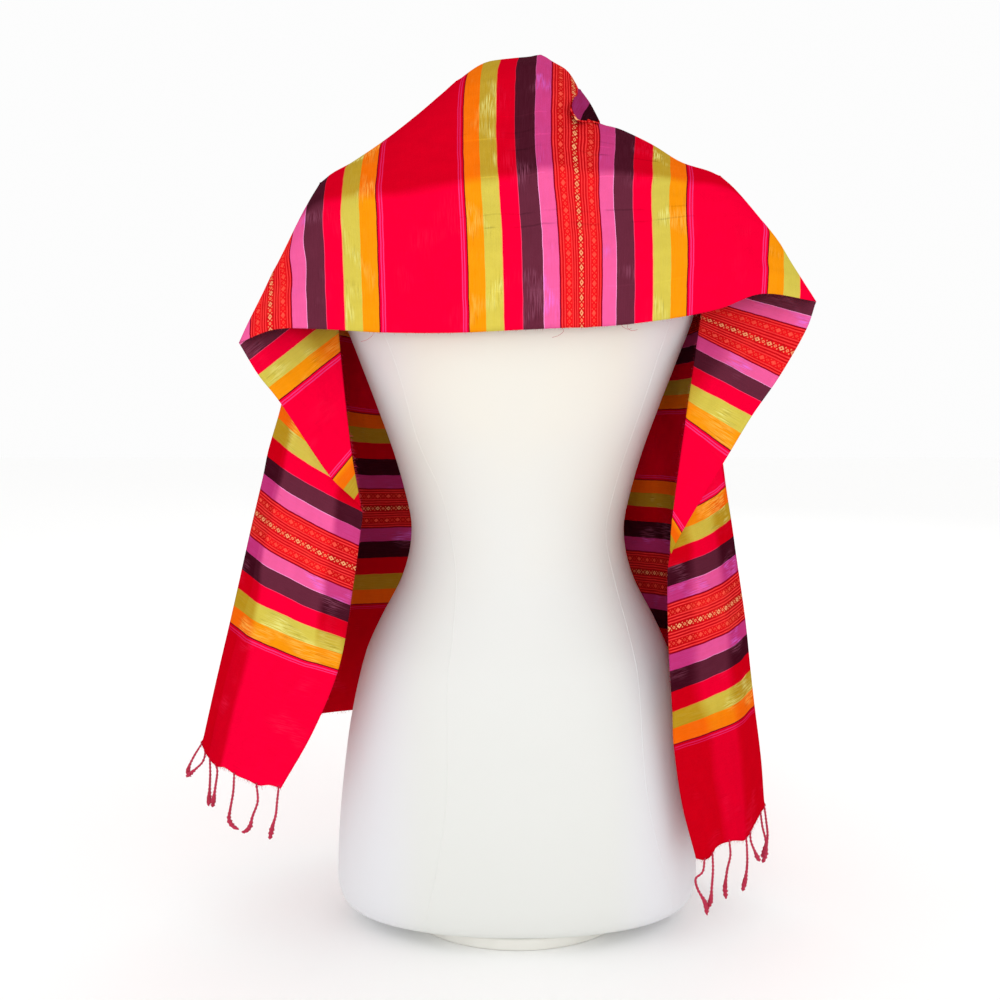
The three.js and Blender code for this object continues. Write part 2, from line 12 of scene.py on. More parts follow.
import bmesh
import bpy
import numpy as np
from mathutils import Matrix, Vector


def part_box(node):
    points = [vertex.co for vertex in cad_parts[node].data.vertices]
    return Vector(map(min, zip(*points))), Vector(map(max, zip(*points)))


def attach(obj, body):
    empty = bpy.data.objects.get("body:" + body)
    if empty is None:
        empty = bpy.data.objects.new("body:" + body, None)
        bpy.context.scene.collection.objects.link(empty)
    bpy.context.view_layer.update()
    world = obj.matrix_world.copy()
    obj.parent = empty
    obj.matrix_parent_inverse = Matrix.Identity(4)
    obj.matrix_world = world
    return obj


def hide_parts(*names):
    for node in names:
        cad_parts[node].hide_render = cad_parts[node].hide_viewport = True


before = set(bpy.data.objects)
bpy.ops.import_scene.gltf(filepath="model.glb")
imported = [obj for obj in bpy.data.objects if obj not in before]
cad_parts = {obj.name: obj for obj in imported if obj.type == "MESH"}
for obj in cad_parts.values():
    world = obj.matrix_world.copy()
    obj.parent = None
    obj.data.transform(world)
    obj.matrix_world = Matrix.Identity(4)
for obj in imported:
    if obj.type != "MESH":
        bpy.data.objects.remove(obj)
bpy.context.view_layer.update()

MM = 0.001
random.seed(7)

# %% [markdown]
# ## The view
# The form is seen from behind, from a step and a half away, with the eye a little above its waist. A lens
# of 50 mm on a 36 mm sensor gives the same perspective, so near hems hang lower than far ones.

# %% Camera
VIEW_DISTANCE = 1.4
VIEW_DOWN = math.radians(9.0)
BACK_PLANE_Y = -0.1
EYE_HEIGHT = 0.699
SENSOR = 36.0
camera_data = bpy.data.cameras.new("camera")
camera_data.sensor_width = SENSOR
camera_data.lens = SENSOR * VIEW_DISTANCE
camera = bpy.data.objects.new("camera", camera_data)
camera.location = (-0.019, BACK_PLANE_Y - VIEW_DISTANCE * math.cos(VIEW_DOWN), EYE_HEIGHT)
camera.rotation_euler = (math.pi / 2 - VIEW_DOWN, 0, 0)
bpy.context.scene.collection.objects.link(camera)
bpy.context.scene.camera = camera
print("eye at", [round(v, 3) for v in camera.location])

# %% [markdown]
# ## Light and floor
# Strong reds and pinks keep their colour only in an even, white light, so the whole sky is a soft light
# box. One lamp over the camera, at chest height, reaches in under the folds, a weak one fills the right, and
# one stands on the far side, for the views from there.

# %% Lamps and floor
scene = bpy.context.scene
scene.view_settings.view_transform = "Standard"
world = bpy.data.worlds.new("soft_studio")
world.use_nodes = True
world.node_tree.nodes["Background"].inputs["Color"].default_value = (1.0, 1.0, 1.0, 1)
world.node_tree.nodes["Background"].inputs["Strength"].default_value = 0.98
scene.world = world


def add_lamp(name, place, target, width, power):
    """Hangs a square soft box that faces the target."""
    data = bpy.data.lights.new(name, "AREA")
    data.size = width
    data.energy = power
    lamp = bpy.data.objects.new(name, data)
    lamp.location = place
    lamp.rotation_euler = (Vector(target) - Vector(place)).to_track_quat("-Z", "Y").to_euler()
    scene.collection.objects.link(lamp)


add_lamp("key_box", (-0.2, -2.2, 0.95), (0, 0, 0.55), 0.7, 9)
add_lamp("fill_box", (1.5, -1.5, 1.5), (0, 0, 0.5), 1.2, 1)
add_lamp("front_box", (0.6, 2.0, 1.6), (0, 0, 0.5), 1.4, 6)

floor_bm = bmesh.new()
bmesh.ops.create_grid(floor_bm, x_segments=1, y_segments=1, size=4.0)
floor_mesh = bpy.data.meshes.new("floor")
floor_bm.to_mesh(floor_mesh)
floor_bm.free()
floor = bpy.data.objects.new("floor", floor_mesh)
scene.collection.objects.link(floor)
floor_paint = bpy.data.materials.new("pale_floor")
floor_paint.use_nodes = True
floor_shader = floor_paint.node_tree.nodes["Principled BSDF"]
floor_shader.inputs["Base Color"].default_value = (0.99, 0.99, 0.985, 1)
floor_shader.inputs["Roughness"].default_value = 0.9
floor.data.materials.append(floor_paint)

# %% [markdown]
# ## Guide lines of the cloth
# A draped strip is easiest to describe the way a draper pins it: by where its edges and folds lie. Each
# table below follows such a line, and each row is one station, the distance in millimetres along the
# strip from the middle of its centre motif band. A smooth curve through the rows gives the whole line.

# %% Tables of the folds and edges, in millimetres
BACK = {
    "station": [-350, -310, -265, -200, -127, -60, -12, 3, 17, 24, 60, 107, 150, 196, 255],
    "hem": [(-281, -70, 635), (-242, -90, 649), (-197, -104, 650), (-134, -116, 647), (-62, -124, 647),
            (2, -126, 650), (50, -125, 652), (62, -125, 652), (74, -124, 653), (80, -124, 653),
            (112, -123, 656), (156, -118, 662), (196, -107, 670), (238, -96, 684), (298, -65, 676)],
    "blade": [(-281, -70, 635), (-243, -82, 672), (-199, -99, 705), (-135, -114, 715), (-64, -121, 730),
              (0, -122, 735), (48, -122, 733), (61, -121, 731), (74, -120, 728), (80, -120, 727),
              (112, -118, 720), (157, -110, 718), (199, -98, 715), (240, -88, 706), (298, -65, 676)],
    "nape": [(-281, -70, 635), (-244, -68, 692), (-202, -76, 752), (-138, -88, 782), (-68, -88, 815),
             (-6, -84, 830), (42, -84, 820), (57, -84, 808), (72, -84, 797), (78, -84, 793),
             (112, -84, 784), (158, -80, 770), (204, -70, 762), (243, -68, 730), (298, -65, 676)],
    "collar": [(-281, -70, 635), (-245, -52, 706), (-204, -40, 783), (-138, -46, 825), (-68, -50, 874),
               (-5, -52, 898), (43, -50, 882), (58, -48, 866), (75, -46, 845), (82, -46, 836),
               (117, -44, 823), (163, -42, 803), (208, -36, 792), (246, -46, 748), (298, -65, 676)],
    "ridge_station": [-350, -310, -265, -232, -200, -165, -140, -112, -95, -78, -58, -46, -40, -35, -30, -22,
                      -12, -4, 3, 10, 17, 24, 40, 60, 80, 107, 150, 196, 255],
    "ridge": [(-281, -70, 635), (-245, -35, 715), (-205, 0, 796), (-171, 3, 818), (-138, 2, 839.5),
              (-103, 3, 866), (-79, 4, 886), (-51, 4, 909), (-35, 5, 918.5), (-18, 6, 921.5), (1, 6, 923.5),
              (12, 6, 924.5), (18, 6, 926), (22.5, 6, 929), (27, 6, 925), (35, 6, 919.5), (45, 6, 915),
              (51, 6, 910.5),
              (57.5, 6, 901), (63.5, 5, 887), (71.5, 3, 870), (83, 0, 856.5), (101, 0, 852), (122, 0, 843),
              (141, 0, 833.5), (167, 0, 818), (209, 0, 803), (247, -25, 759), (298, -65, 676)],
    "ridge_width": [0, 90, 185, 245, 300, 325, 300, 290, 268, 250, 235, 205, 180, 105, 0],
}
NECK = {
    "width": [300, 338, 378, 430, 475],
    "left": [(-62, 5, 896), (-54, 38, 889), (-50, 50, 862), (-34, 62, 816), (-12, 76, 774)],
    "middle": [(-2, 7, 923.5), (0, 42, 905), (3, 58, 866), (3, 70, 816), (2, 79, 773)],
    "corner": [(55, 7, 904), (58, 38, 880), (52, 54, 852), (26, 67, 811), (8, 78, 772)],
    "right": [(81, 2, 858), (79, 32, 841), (70, 50, 826), (46, 64, 796), (18, 77, 768)],
}
LEFT = {
    "selvedge_station": [-350, -391, -426, -510, -566, -590, -650, -740, -800, -868],
    "selvedge": [(-281, -70, 635), (-261, -80, 604), (-240, -88, 579), (-189, -101, 505), (-158, -100, 471),
                 (-159, -100, 449), (-168, -100, 388), (-184, -98, 305), (-211, -96, 239), (-247, -92, 175)],
    "fold_station": [-265, -350, -426, -510, -566],
    "fold": [(-205, 0, 797), (-189, -29, 709), (-180, -55, 627), (-168, -84, 530), (-158, -100, 471)],
    "fold_width": [185, 133, 84, 34, 0],
    "outline_station": [-265, -350, -430, -515, -566, -590, -650, -740, -800, -868],
    "outline": [(-205, 0, 797), (-221, -5, 722), (-235, -10, 651), (-249, -12, 573), (-266, -12, 518),
                (-271, -12, 495), (-288, -10, 430), (-313, -5, 333), (-332, 0, 262), (-350, 5, 192)],
    "outline_width": [185, 170, 159, 150, 147, 146, 145, 144, 143, 142],
    "belly": [0, 2, 6, 10, 12, 13, 15, 16, 18, 20],
    "front_station": [-127, -200, -265, -350, -430, -515, -590, -650, -740, -868],
    "side": [(-65, 8, 895.5), (-116, 44, 836), (-168, 62, 778), (-186, 86, 705), (-182, 112, 628),
             (-176, 126, 545), (-168, 130, 472), (-172, 132, 411), (-184, 134, 319), (-211, 136, 186)],
    "breast": [(-64, 12, 894.5), (-78, 68, 834), (-98, 100, 772), (-108, 130, 698), (-110, 148, 620),
               (-108, 152, 540), (-106, 152, 468), (-106, 152, 408), (-108, 152, 316), (-112, 152, 184)],
    "centre": [(-62, 16, 893.5), (-32, 74, 836), (-10, 94, 775), (-10, 120, 700), (-12, 140, 622),
               (-14, 148, 542), (-16, 150, 470), (-17, 151, 410), (-18, 152, 318), (-20, 153, 186)],
}
RIGHT = {
    "selvedge_station": [255, 292, 335, 391, 426, 512, 560, 590, 650, 705, 740, 800, 848],
    "selvedge": [(298, -65, 676), (287, -74, 648), (261, -83, 604), (232, -93, 564), (211, -99, 530),
                 (164, -107, 451), (151, -104, 420), (150, -102, 391), (153, -100, 322), (158, -98, 260),
                 (160, -97, 225), (171, -96, 156), (186, -96, 102)],
    "fold_station": [150, 250, 350, 430, 512, 560],
    "fold": [(209, 0, 804), (194, -31, 711), (179, -58, 631), (167, -78, 557), (154, -97, 466),
             (151, -104, 420)],
    "fold_width": [180, 136, 92, 57, 21, 0],
    "outline_station": [150, 250, 350, 430, 512, 560, 590, 650, 705, 740, 800, 848],
    "outline": [(209, 0, 804), (206, -5, 723), (206, -8, 640), (211, -8, 563), (222, -7, 484), (231, -5, 436),
                (236, -4, 406), (248, -2, 336), (256, 0, 278), (262, 2, 237), (272, 6, 172), (278, 10, 117)],
    "outline_width": [180, 165, 150, 138, 130, 127, 127, 128, 130, 132, 136, 140],
    "belly": [0, 3, 6, 8, 11, 13, 14, 15, 15, 15, 15, 14],
    "front_station": [26, 75, 110, 150, 250, 350, 430, 512, 590, 705, 848],
    "side": [(86, 4, 854), (126, 40, 822), (150, 54, 796), (174, 66, 768), (186, 88, 700), (172, 104, 620),
             (167, 108, 548), (160, 112, 472), (160, 114, 400), (164, 116, 274), (170, 119, 120)],
    "breast": [(85, 8, 853), (94, 66, 818), (102, 86, 790), (108, 106, 758), (112, 132, 692), (110, 150, 614),
               (108, 153, 543), (106, 153, 469), (106, 153, 397), (108, 153, 272), (110, 153, 119)],
    "centre": [(84, 12, 852), (48, 76, 820), (26, 86, 794), (9, 100, 762), (9, 122, 696), (11, 142, 616),
               (12, 149, 545), (13, 152, 471), (14, 153, 399), (15, 153, 274), (16, 153, 120)],
}
STRIP_WIDTH = 500

# %% A smooth curve through the rows of a table


def smooth_through(marks, values, at):
    """Values between rows, with the slope at each row taken from its two neighbours."""
    marks, values, at = (np.asarray(a, dtype=float) for a in (marks, values, at))
    if marks[-1] < marks[0]:
        marks, values = marks[::-1], values[::-1]
    slope = np.zeros_like(values)
    slope[1:-1] = ((values[2:] - values[:-2]).T / (marks[2:] - marks[:-2])).T
    slope[0] = (values[1] - values[0]) / (marks[1] - marks[0])
    slope[-1] = (values[-1] - values[-2]) / (marks[-1] - marks[-2])
    k = np.clip(np.searchsorted(marks, at) - 1, 0, len(marks) - 2)
    span = marks[k + 1] - marks[k]
    t = np.clip((at - marks[k]) / span, 0, 1)
    if values.ndim == 2:
        t, span = t[..., None], span[..., None]
    a, b = 2 * t**3 - 3 * t**2 + 1, t**3 - 2 * t**2 + t
    c, d = 3 * t**2 - 2 * t**3, t**3 - t**2
    return values[k] * a + slope[k] * span * b + values[k + 1] * c + slope[k + 1] * span * d


def guide(table, name, stations, marks="station"):
    """A fold or edge as points, one for each station."""
    return smooth_through(table[marks], table[name], stations)


def ridge_line(stations):
    """The ridge over shoulders and neck, which the back shares with the stretches in front."""
    return guide(BACK, "ridge", stations, "ridge_station")


print("peak over the neck, mm:", ridge_line(np.array([-35.0])).round(0).tolist())

# %% [markdown]
# ## The sheet
# The strip could be simulated, but a drape with set folds keeps its shape better when it is built stretch
# by stretch. Each stretch starts as a flat bmesh grid. Its rows are stations, its columns run from one
# guide line to the next, and every vertex is moved to its place. Stretches that share a fold use the same
# line, so their edges weld into one sheet. A UV map keeps each point's place in the flat strip.

# %% Lay the stretches of the strip
ROW_PITCH = 5.0
COLUMN_PITCH = 5.0
FRONT_FOLDS = {"count": 3, "depth_at_top": 9, "depth_at_hem": 4, "starts_at": 0.3}
TAIL_PANELS = {  # shares of the way across where the middle panel begins and ends, and its height in mm
    "left": {"from": 0.26, "to": 0.72, "height": 7},
    "right": {"from": 0.42, "to": 0.66, "height": 6},
}
HEM_WAVES = {  # share of the way from inner selvedge to outline, and the drop of the hem there in mm
    "left": {"share": [0, 0.1, 0.19, 0.27, 0.39, 0.53, 0.64, 0.9, 1], "drop": [0, 0, 4, 2, 2, 0, 5, 5, 0]},
    "right": {
        "share": [0, 0.08, 0.16, 0.22, 0.35, 0.43, 0.57, 0.64, 0.8, 1],
        "drop": [2, 8, 8, 0, 1, 4, 12, 10, 4, 0],
    },
}
HEM_WAVE_REACH = 30.0


def rows_between(first, last):
    """Stations on a shared pitch, so that neighbouring stretches have the same rows."""
    low, high = min(first, last), max(first, last)
    inner = np.arange(math.ceil(low / ROW_PITCH), math.floor(high / ROW_PITCH) + 1) * ROW_PITCH
    inner = inner[(inner > low + 1) & (inner < high - 1)]
    return np.concatenate([[low], inner, [high]])


def across_guides(lines, widths, count):
    """Points at even shares of the way over a stretch's guide lines, and their places in the strip."""
    lines = np.stack(lines)
    steps = np.linalg.norm(np.diff(lines, axis=0), axis=2)
    marks = np.concatenate([np.zeros((1, steps.shape[1])), np.cumsum(steps, axis=0)])
    shares = np.linspace(0, 1, count + 1)
    points = np.empty((lines.shape[1], count + 1, 3))
    for row in range(lines.shape[1]):
        total = max(marks[-1, row], 1e-6)
        if total < 1.0:
            points[row] = lines[0, row] + shares[:, None] * (lines[-1, row] - lines[0, row])
        else:
            row_marks = marks[:, row] / total + np.arange(len(lines)) * 1e-9
            points[row] = smooth_through(row_marks, lines[:, row], shares)
    first, last = widths
    places = first[:, None] + (last - first)[:, None] * shares[None, :]
    return points, places


def lay_grid(points, stations, places):
    """A bmesh grid with its vertices moved to the points, and the flat strip in its UV map, in metres."""
    rows, columns = points.shape[:2]
    stations = np.broadcast_to(stations.reshape(rows, -1), places.shape)
    bm = bmesh.new()
    bmesh.ops.create_grid(bm, x_segments=rows - 1, y_segments=columns - 1, size=1.0)
    uv = bm.loops.layers.uv.new("strip")
    index = {}
    for vert in bm.verts:
        i = round((vert.co.x + 1) / 2 * (rows - 1))
        j = round((vert.co.y + 1) / 2 * (columns - 1))
        index[vert] = (i, j)
    for face in bm.faces:
        for loop in face.loops:
            i, j = index[loop.vert]
            loop[uv].uv = (stations[i, j] * MM, places[i, j] * MM)
    for vert, (i, j) in index.items():
        vert.co = Vector(points[i, j]) * MM
    return bm


def front_relief(stations, count):
    """Soft folds that fan out from the throat, pushed forward, in millimetres."""
    down = np.abs(stations - stations[np.argmin(np.abs(stations))])
    down = down / down.max()
    start = FRONT_FOLDS["starts_at"]
    share = np.clip((np.linspace(0, 1, count + 1) - start) / (1 - start), 0, 1)
    fade = np.sin(np.minimum(down / 0.3, 1) * math.pi / 2)
    depth = (FRONT_FOLDS["depth_at_top"] * (1 - down) + FRONT_FOLDS["depth_at_hem"] * down) * fade
    return depth[:, None] * np.sin(share * FRONT_FOLDS["count"] * math.pi)[None, :] ** 2


def tail_panel(side, rows, count):
    """A hanging end keeps two soft upright creases, with a flat panel between them that stands proud."""
    share = np.linspace(0, 1, count + 1)
    start, end = TAIL_PANELS[side]["from"], TAIL_PANELS[side]["to"]
    rise = np.clip(np.minimum(share / start, (1 - share) / (1 - end)), 0, 1)
    rise = rise * rise * (3 - 2 * rise) * 0.4 + rise * 0.6
    fade = np.clip((np.abs(rows) - np.abs(rows).min()) / 150, 0, 1)[:, None]
    return TAIL_PANELS[side]["height"] * fade * rise[None, :]


def hem_drop(side, rows, count):
    """The knotted cords draw the hem of an end down in places."""
    drop = smooth_through(HEM_WAVES[side]["share"], HEM_WAVES[side]["drop"], np.linspace(0, 1, count + 1))
    nearness = np.clip(1 - (np.abs(rows).max() - np.abs(rows)) / HEM_WAVE_REACH, 0, 1) ** 1.5
    return nearness[:, None] * drop[None, :]


def column_count(width):
    return max(4, round(width / COLUMN_PITCH))


stretches = {}


def keep_stretch(name, points, stations, places):
    stretches[name] = (points, stations, places)
    print(f"{name}: {points.shape[0]} rows by {points.shape[1]} columns")


rows = rows_between(-350, 255)
lines = [guide(BACK, name, rows) for name in ("hem", "blade", "nape", "collar")] + [ridge_line(rows)]
ridge_width = guide(BACK, "ridge_width", rows)
points, places = across_guides(lines, (ridge_width * 0, ridge_width), column_count(300))
keep_stretch("back", points, rows, places)

for name, table, tip, corner, turn in (("left", LEFT, -566, -350, -265), ("right", RIGHT, 560, 255, 150)):
    rows = rows_between(turn, tip)
    beyond = np.abs(rows) >= abs(corner)
    selvedge = guide(table, "selvedge", rows, "selvedge_station")
    edge = np.where(beyond[:, None], selvedge, ridge_line(rows))
    edge_width = np.where(beyond, 0, guide(BACK, "ridge_width", rows))
    fold = guide(table, "fold", rows, "fold_station")
    fold_width = guide(table, "fold_width", rows, "fold_station")
    points, places = across_guides([edge, fold], (edge_width, fold_width), column_count(110))
    keep_stretch("flap_" + name, points, rows, places)

    end = table["selvedge_station"][-1]
    rows = rows_between(turn, end)
    above = np.abs(rows) <= abs(tip)
    inner = np.where(
        above[:, None],
        guide(table, "fold", rows, "fold_station"),
        guide(table, "selvedge", rows, "selvedge_station"),
    )
    inner_width = np.where(above, guide(table, "fold_width", rows, "fold_station"), 0)
    outline = guide(table, "outline", rows, "outline_station")
    outline_width = guide(table, "outline_width", rows, "outline_station")
    belly = inner * 0.4 + outline * 0.6
    belly[:, 1] -= guide(table, "belly", rows, "outline_station")
    points, places = across_guides([inner, belly, outline], (inner_width, outline_width), column_count(145))
    points[:, :, 1] -= tail_panel(name, rows, points.shape[1] - 1)
    points[:, :, 2] -= hem_drop(name, rows, points.shape[1] - 1)
    keep_stretch("tail_" + name, points, rows, places)

    start = table["front_station"][0]
    rows = rows_between(start, end)
    on_ridge = np.abs(rows) <= abs(turn)
    outer = np.where(
        on_ridge[:, None],
        ridge_line(rows),
        guide(table, "outline", rows, "outline_station"),
    )
    outer_width = np.where(
        on_ridge, guide(BACK, "ridge_width", rows), guide(table, "outline_width", rows, "outline_station")
    )
    lines = [outer] + [guide(table, part, rows, "front_station") for part in ("side", "breast", "centre")]
    points, places = across_guides(lines, (outer_width, outer_width * 0 + STRIP_WIDTH), column_count(350))
    points[:, :, 1] += front_relief(rows, points.shape[1] - 1)
    keep_stretch("front_" + name, points, rows, places)

widths = np.arange(NECK["width"][0], NECK["width"][-1] + 1, ROW_PITCH)
lines = [guide(NECK, name, widths, "width") for name in ("left", "middle", "corner", "right")]
rows = rows_between(-127, 24)
points, _ = across_guides(lines, (widths, widths), len(rows) - 1)
ease = np.clip(1 - (widths - widths[0]) / 60, 0, 1) ** 2
points += (ridge_line(rows) - points[0])[None, :, :] * ease[:, None, None]
keep_stretch("neck", points.transpose(1, 0, 2), rows, np.tile(widths, (len(rows), 1)))

# %% [markdown]
# ## The tuck at the neck
# Where the standing part round the neck meets the right shoulder there is cloth to spare, and it has
# fallen into a small tuck. Its far wall is a patch that shows the next stripes, and the near edge of the
# cloth rolls over in front of it. Each place is a point and then its station and width in the strip. The
# wall is charted one strip's width further out, so that the material can tell it apart and paint shade on it.

# %% Lay the tuck and its rolled edge
TUCK_WALL = [  # from the valley to the outline and on under the cloth in front, at each of three heights
    [(60.5, -4, 890, 25, 262), (62, 0, 890, 27, 265), (63, 3, 889, 29, 268), (57, 12, 882, 32, 275)],
    [(52, -62, 867, 24, 225), (61, -45, 869, 32, 240), (72.5, -5, 876, 38.6, 264), (65, 14, 866, 42, 280)],
    [(57, -67, 851, 36, 206), (68, -45, 852.5, 48, 225), (83, -6, 857, 62, 250), (77, 12, 849, 66, 268)],
]
LIP = [  # along the edge of the near cloth
    (50, -66, 864, -6, 217), (53, -68, 858, -3, 211), (57, -70, 852, 1, 205), (66, -57, 852, 8, 216),
    (75, -37, 854, 15, 233), (81, -14, 855, 22, 248),
]
TUCK_STEPS = 12
LIP_STEPS = 30
LIP_RADIUS = 0.8
LIP_TURNS = np.radians(np.linspace(-110, 170, 11))


def smooth_patch(table, counts):
    """Fills in between the rows and the columns of a table of points."""
    table = np.array(table, dtype=float)
    for axis, count in enumerate(counts):
        table = np.swapaxes(table, 0, axis)
        at = np.linspace(0, len(table) - 1, count + 1)
        flat = smooth_through(np.arange(len(table)), table.reshape(len(table), -1), at)
        table = np.swapaxes(flat.reshape(count + 1, *table.shape[1:]), 0, axis)
    return table


patch = smooth_patch(TUCK_WALL, (TUCK_STEPS, TUCK_STEPS + TUCK_STEPS // 2))
keep_stretch("tuck_wall", patch[:, :, :3] - (0, 1.5, 0), patch[:, :, 3], patch[:, :, 4] + STRIP_WIDTH)
lip = smooth_patch(LIP, (LIP_STEPS,))
run = np.gradient(lip[:, :3], axis=0)
run /= np.linalg.norm(run, axis=1, keepdims=True)
outward = np.cross(run, (0, 0, 1))
outward /= np.linalg.norm(outward, axis=1, keepdims=True)
upward = np.cross(outward, run)
roll = [LIP_RADIUS * (math.cos(turn) * outward + math.sin(turn) * upward) for turn in LIP_TURNS]
points = lip[:, None, :3] + np.stack(roll, axis=1)
places = lip[:, 4:5] + LIP_RADIUS * LIP_TURNS[None, :]
keep_stretch("tuck_lip", points, np.broadcast_to(lip[:, 3:4], places.shape), places)

# %% [markdown]
# ## Creases
# Cloth that was folded away in a drawer keeps faint lines, and a hanging end shows long soft troughs.
# Each is a line in the flat strip, from one station and width to another, with a depth and a softness.
# Points near the line are pushed along the sheet's normal, so the crease follows the drape.

# %% Press the creases into the sheet
CREASES = [  # station, width, station, width, depth, softness, all in millimetres
    (-90, 213, 10, 211, 1.0, 5),
    (-110, 190, 30, 188, -1.2, 6),
    (-90, 178, 70, 176, 1.0, 5),
    (-260, 150, 160, 143, -2.4, 12),
    (-60, 98, 60, 97, 0.7, 5),
    (-40, 111, 50, 110, 0.6, 5),
    (-330, 60, -180, 140, -2.0, 14),
    (-300, 30, -240, 110, 1.6, 12),
    (230, 45, 120, 150, -2.0, 14),
    (200, 20, 160, 120, 1.6, 12),
    (-90, 20, -84, 150, 0.8, 16),
    (60, 10, 52, 160, 0.9, 18),
    (-480, 20, -380, 70, 1.4, 9),
    (-600, 60, -860, 75, 2.2, 16),
    (-640, 112, -868, 104, -1.8, 14),
    (-760, 20, -868, 34, 1.8, 12),
    (-690, 128, -700, 10, 0.7, 7),
    (610, 50, 840, 58, 2.0, 15),
    (650, 104, 848, 98, -1.6, 13),
    (480, 80, 600, 96, 1.3, 11),
    (420, 30, 340, 60, 1.3, 9),
    (-420, 260, -700, 236, 2.2, 16),
    (-560, 360, -868, 372, 2.4, 18),
    (-400, 440, -560, 430, 1.6, 12),
    (420, 240, 700, 228, 2.2, 16),
    (560, 340, 848, 352, 2.4, 18),
    (400, 430, 560, 422, 1.6, 12),
]


def crease_depths(stations, places):
    """How far each point of a stretch is pressed in, in millimetres."""
    s = np.broadcast_to(stations.reshape(len(places), -1), places.shape)
    total = np.zeros_like(s)
    for s0, w0, s1, w1, depth, softness in CREASES:
        length = math.hypot(s1 - s0, w1 - w0)
        along = ((s - s0) * (s1 - s0) + (places - w0) * (w1 - w0)) / length**2
        aside = ((s - s0) * (w1 - w0) - (places - w0) * (s1 - s0)) / length
        wander = softness * 0.4 * np.sin(along * 5.0 + s0)
        fade = np.clip(np.minimum(along, 1 - along) * 5, 0, 1)
        total += depth * fade * fade * (3 - 2 * fade) * np.exp(-(((aside + wander) / softness) ** 2))
    total += 0.5 * np.sin(s / 31 + places / 47) * np.sin(places / 39 - s / 83)
    return total


def press_creases(points, stations, places):
    along = np.gradient(points, axis=0)
    across = np.gradient(points, axis=1)
    normal = np.cross(along, across)
    normal /= np.maximum(np.linalg.norm(normal, axis=2, keepdims=True), 1e-6)
    depth = crease_depths(stations, places)
    edge_fade = np.ones_like(depth)
    edge_fade[:, 0] = edge_fade[:, -1] = 0
    edge_fade[:, 1] = edge_fade[:, -2] = 0.6
    return points - normal * (depth * edge_fade)[:, :, None]


WELD_WITHIN = 0.4 * MM
cloth_bm = bmesh.new()
scratch = bpy.data.meshes.new("scratch")
for name, (points, stations, places) in stretches.items():
    pressed = points if name.startswith("tuck") else press_creases(points, stations, places)
    stretch_bm = lay_grid(pressed, stations, places)
    stretch_bm.to_mesh(scratch)
    stretch_bm.free()
    cloth_bm.from_mesh(scratch)
bpy.data.meshes.remove(scratch)
before = len(cloth_bm.verts)
bmesh.ops.remove_doubles(cloth_bm, verts=cloth_bm.verts, dist=WELD_WITHIN)
bmesh.ops.dissolve_degenerate(cloth_bm, edges=cloth_bm.edges, dist=0.0002)
bmesh.ops.recalc_face_normals(cloth_bm, faces=cloth_bm.faces)
print("welded", before - len(cloth_bm.verts), "of", before, "vertices")

# %% Soften the folds and give the sheet its thickness
SHARP_TURN = math.radians(24)
FOLD_PASSES = 3
for _ in range(FOLD_PASSES):
    sharp = [e for e in cloth_bm.edges if len(e.link_faces) == 2 and e.calc_face_angle(0) > SHARP_TURN]
    near = {v for e in sharp for v in e.verts}
    near |= {e.other_vert(v) for v in near for e in v.link_edges}
    inside = [v for v in near if not v.is_boundary]
    bmesh.ops.smooth_vert(
        cloth_bm, verts=inside, factor=0.5, use_axis_x=True, use_axis_y=True, use_axis_z=True
    )
    print("softened", len(inside), "vertices along the folds")
for face in cloth_bm.faces:
    face.smooth = True
cloth_mesh = bpy.data.meshes.new("scarf_cloth")
cloth_bm.to_mesh(cloth_mesh)
cloth_bm.free()
scarf = bpy.data.objects.new("scarf_cloth", cloth_mesh)
scene.collection.objects.link(scarf)
CLOTH_THICKNESS = 0.8 * MM
thicken = scarf.modifiers.new("thickness", "SOLIDIFY")
thicken.thickness = CLOTH_THICKNESS
thicken.offset = 0
print("cloth faces:", len(cloth_mesh.polygons))

# %% [markdown]
# ## The stripes
# The stripes cross the strip, so they depend only on the station. They mirror about every motif band, so
# one ramp from the middle of a band to the middle of the wide red field, repeated back and forth, colours
# the whole strip. The last field at each end stays red up to the fringe.

# %% Small helpers for shader nodes


def linear(hex_colour):
    """A hex colour as the linear values that shaders use."""
    channels = [int(hex_colour[i : i + 2], 16) / 255 for i in (1, 3, 5)]
    return tuple(c / 12.92 if c <= 0.04045 else ((c + 0.055) / 1.055) ** 2.4 for c in channels) + (1.0,)


class Signal:
    """What a node puts out. Arithmetic and comparisons on it add Math nodes."""

    def __init__(self, tree, socket):
        self.tree = tree
        self.socket = socket

    __add__ = lambda self, other: calc("ADD", self, other)
    __radd__ = lambda self, other: calc("ADD", other, self)
    __sub__ = lambda self, other: calc("SUBTRACT", self, other)
    __rsub__ = lambda self, other: calc("SUBTRACT", other, self)
    __mul__ = lambda self, other: calc("MULTIPLY", self, other)
    __rmul__ = lambda self, other: calc("MULTIPLY", other, self)
    __truediv__ = lambda self, other: calc("DIVIDE", self, other)
    __gt__ = lambda self, other: calc("GREATER_THAN", self, other)
    __lt__ = lambda self, other: calc("LESS_THAN", self, other)
    __abs__ = lambda self: calc("ABSOLUTE", self)


def feed(socket, value):
    """Links a signal to a socket, or sets the socket to a plain value."""
    if isinstance(value, Signal):
        value.tree.links.new(value.socket, socket)
    elif value is not None:
        socket.default_value = value


def signals(tree, sockets):
    return {socket.name: Signal(tree, socket) for socket in sockets}


def tree_of(*values):
    """The tree that the signals among the values belong to."""
    return next(value.tree for value in values if isinstance(value, Signal))


def calc(operation, *values):
    """One Math node, fed with signals or numbers."""
    tree = tree_of(*values)
    node = tree.nodes.new("ShaderNodeMath")
    node.operation = operation
    for socket, value in zip(node.inputs, values):
        feed(socket, value)
    return Signal(tree, node.outputs[0])


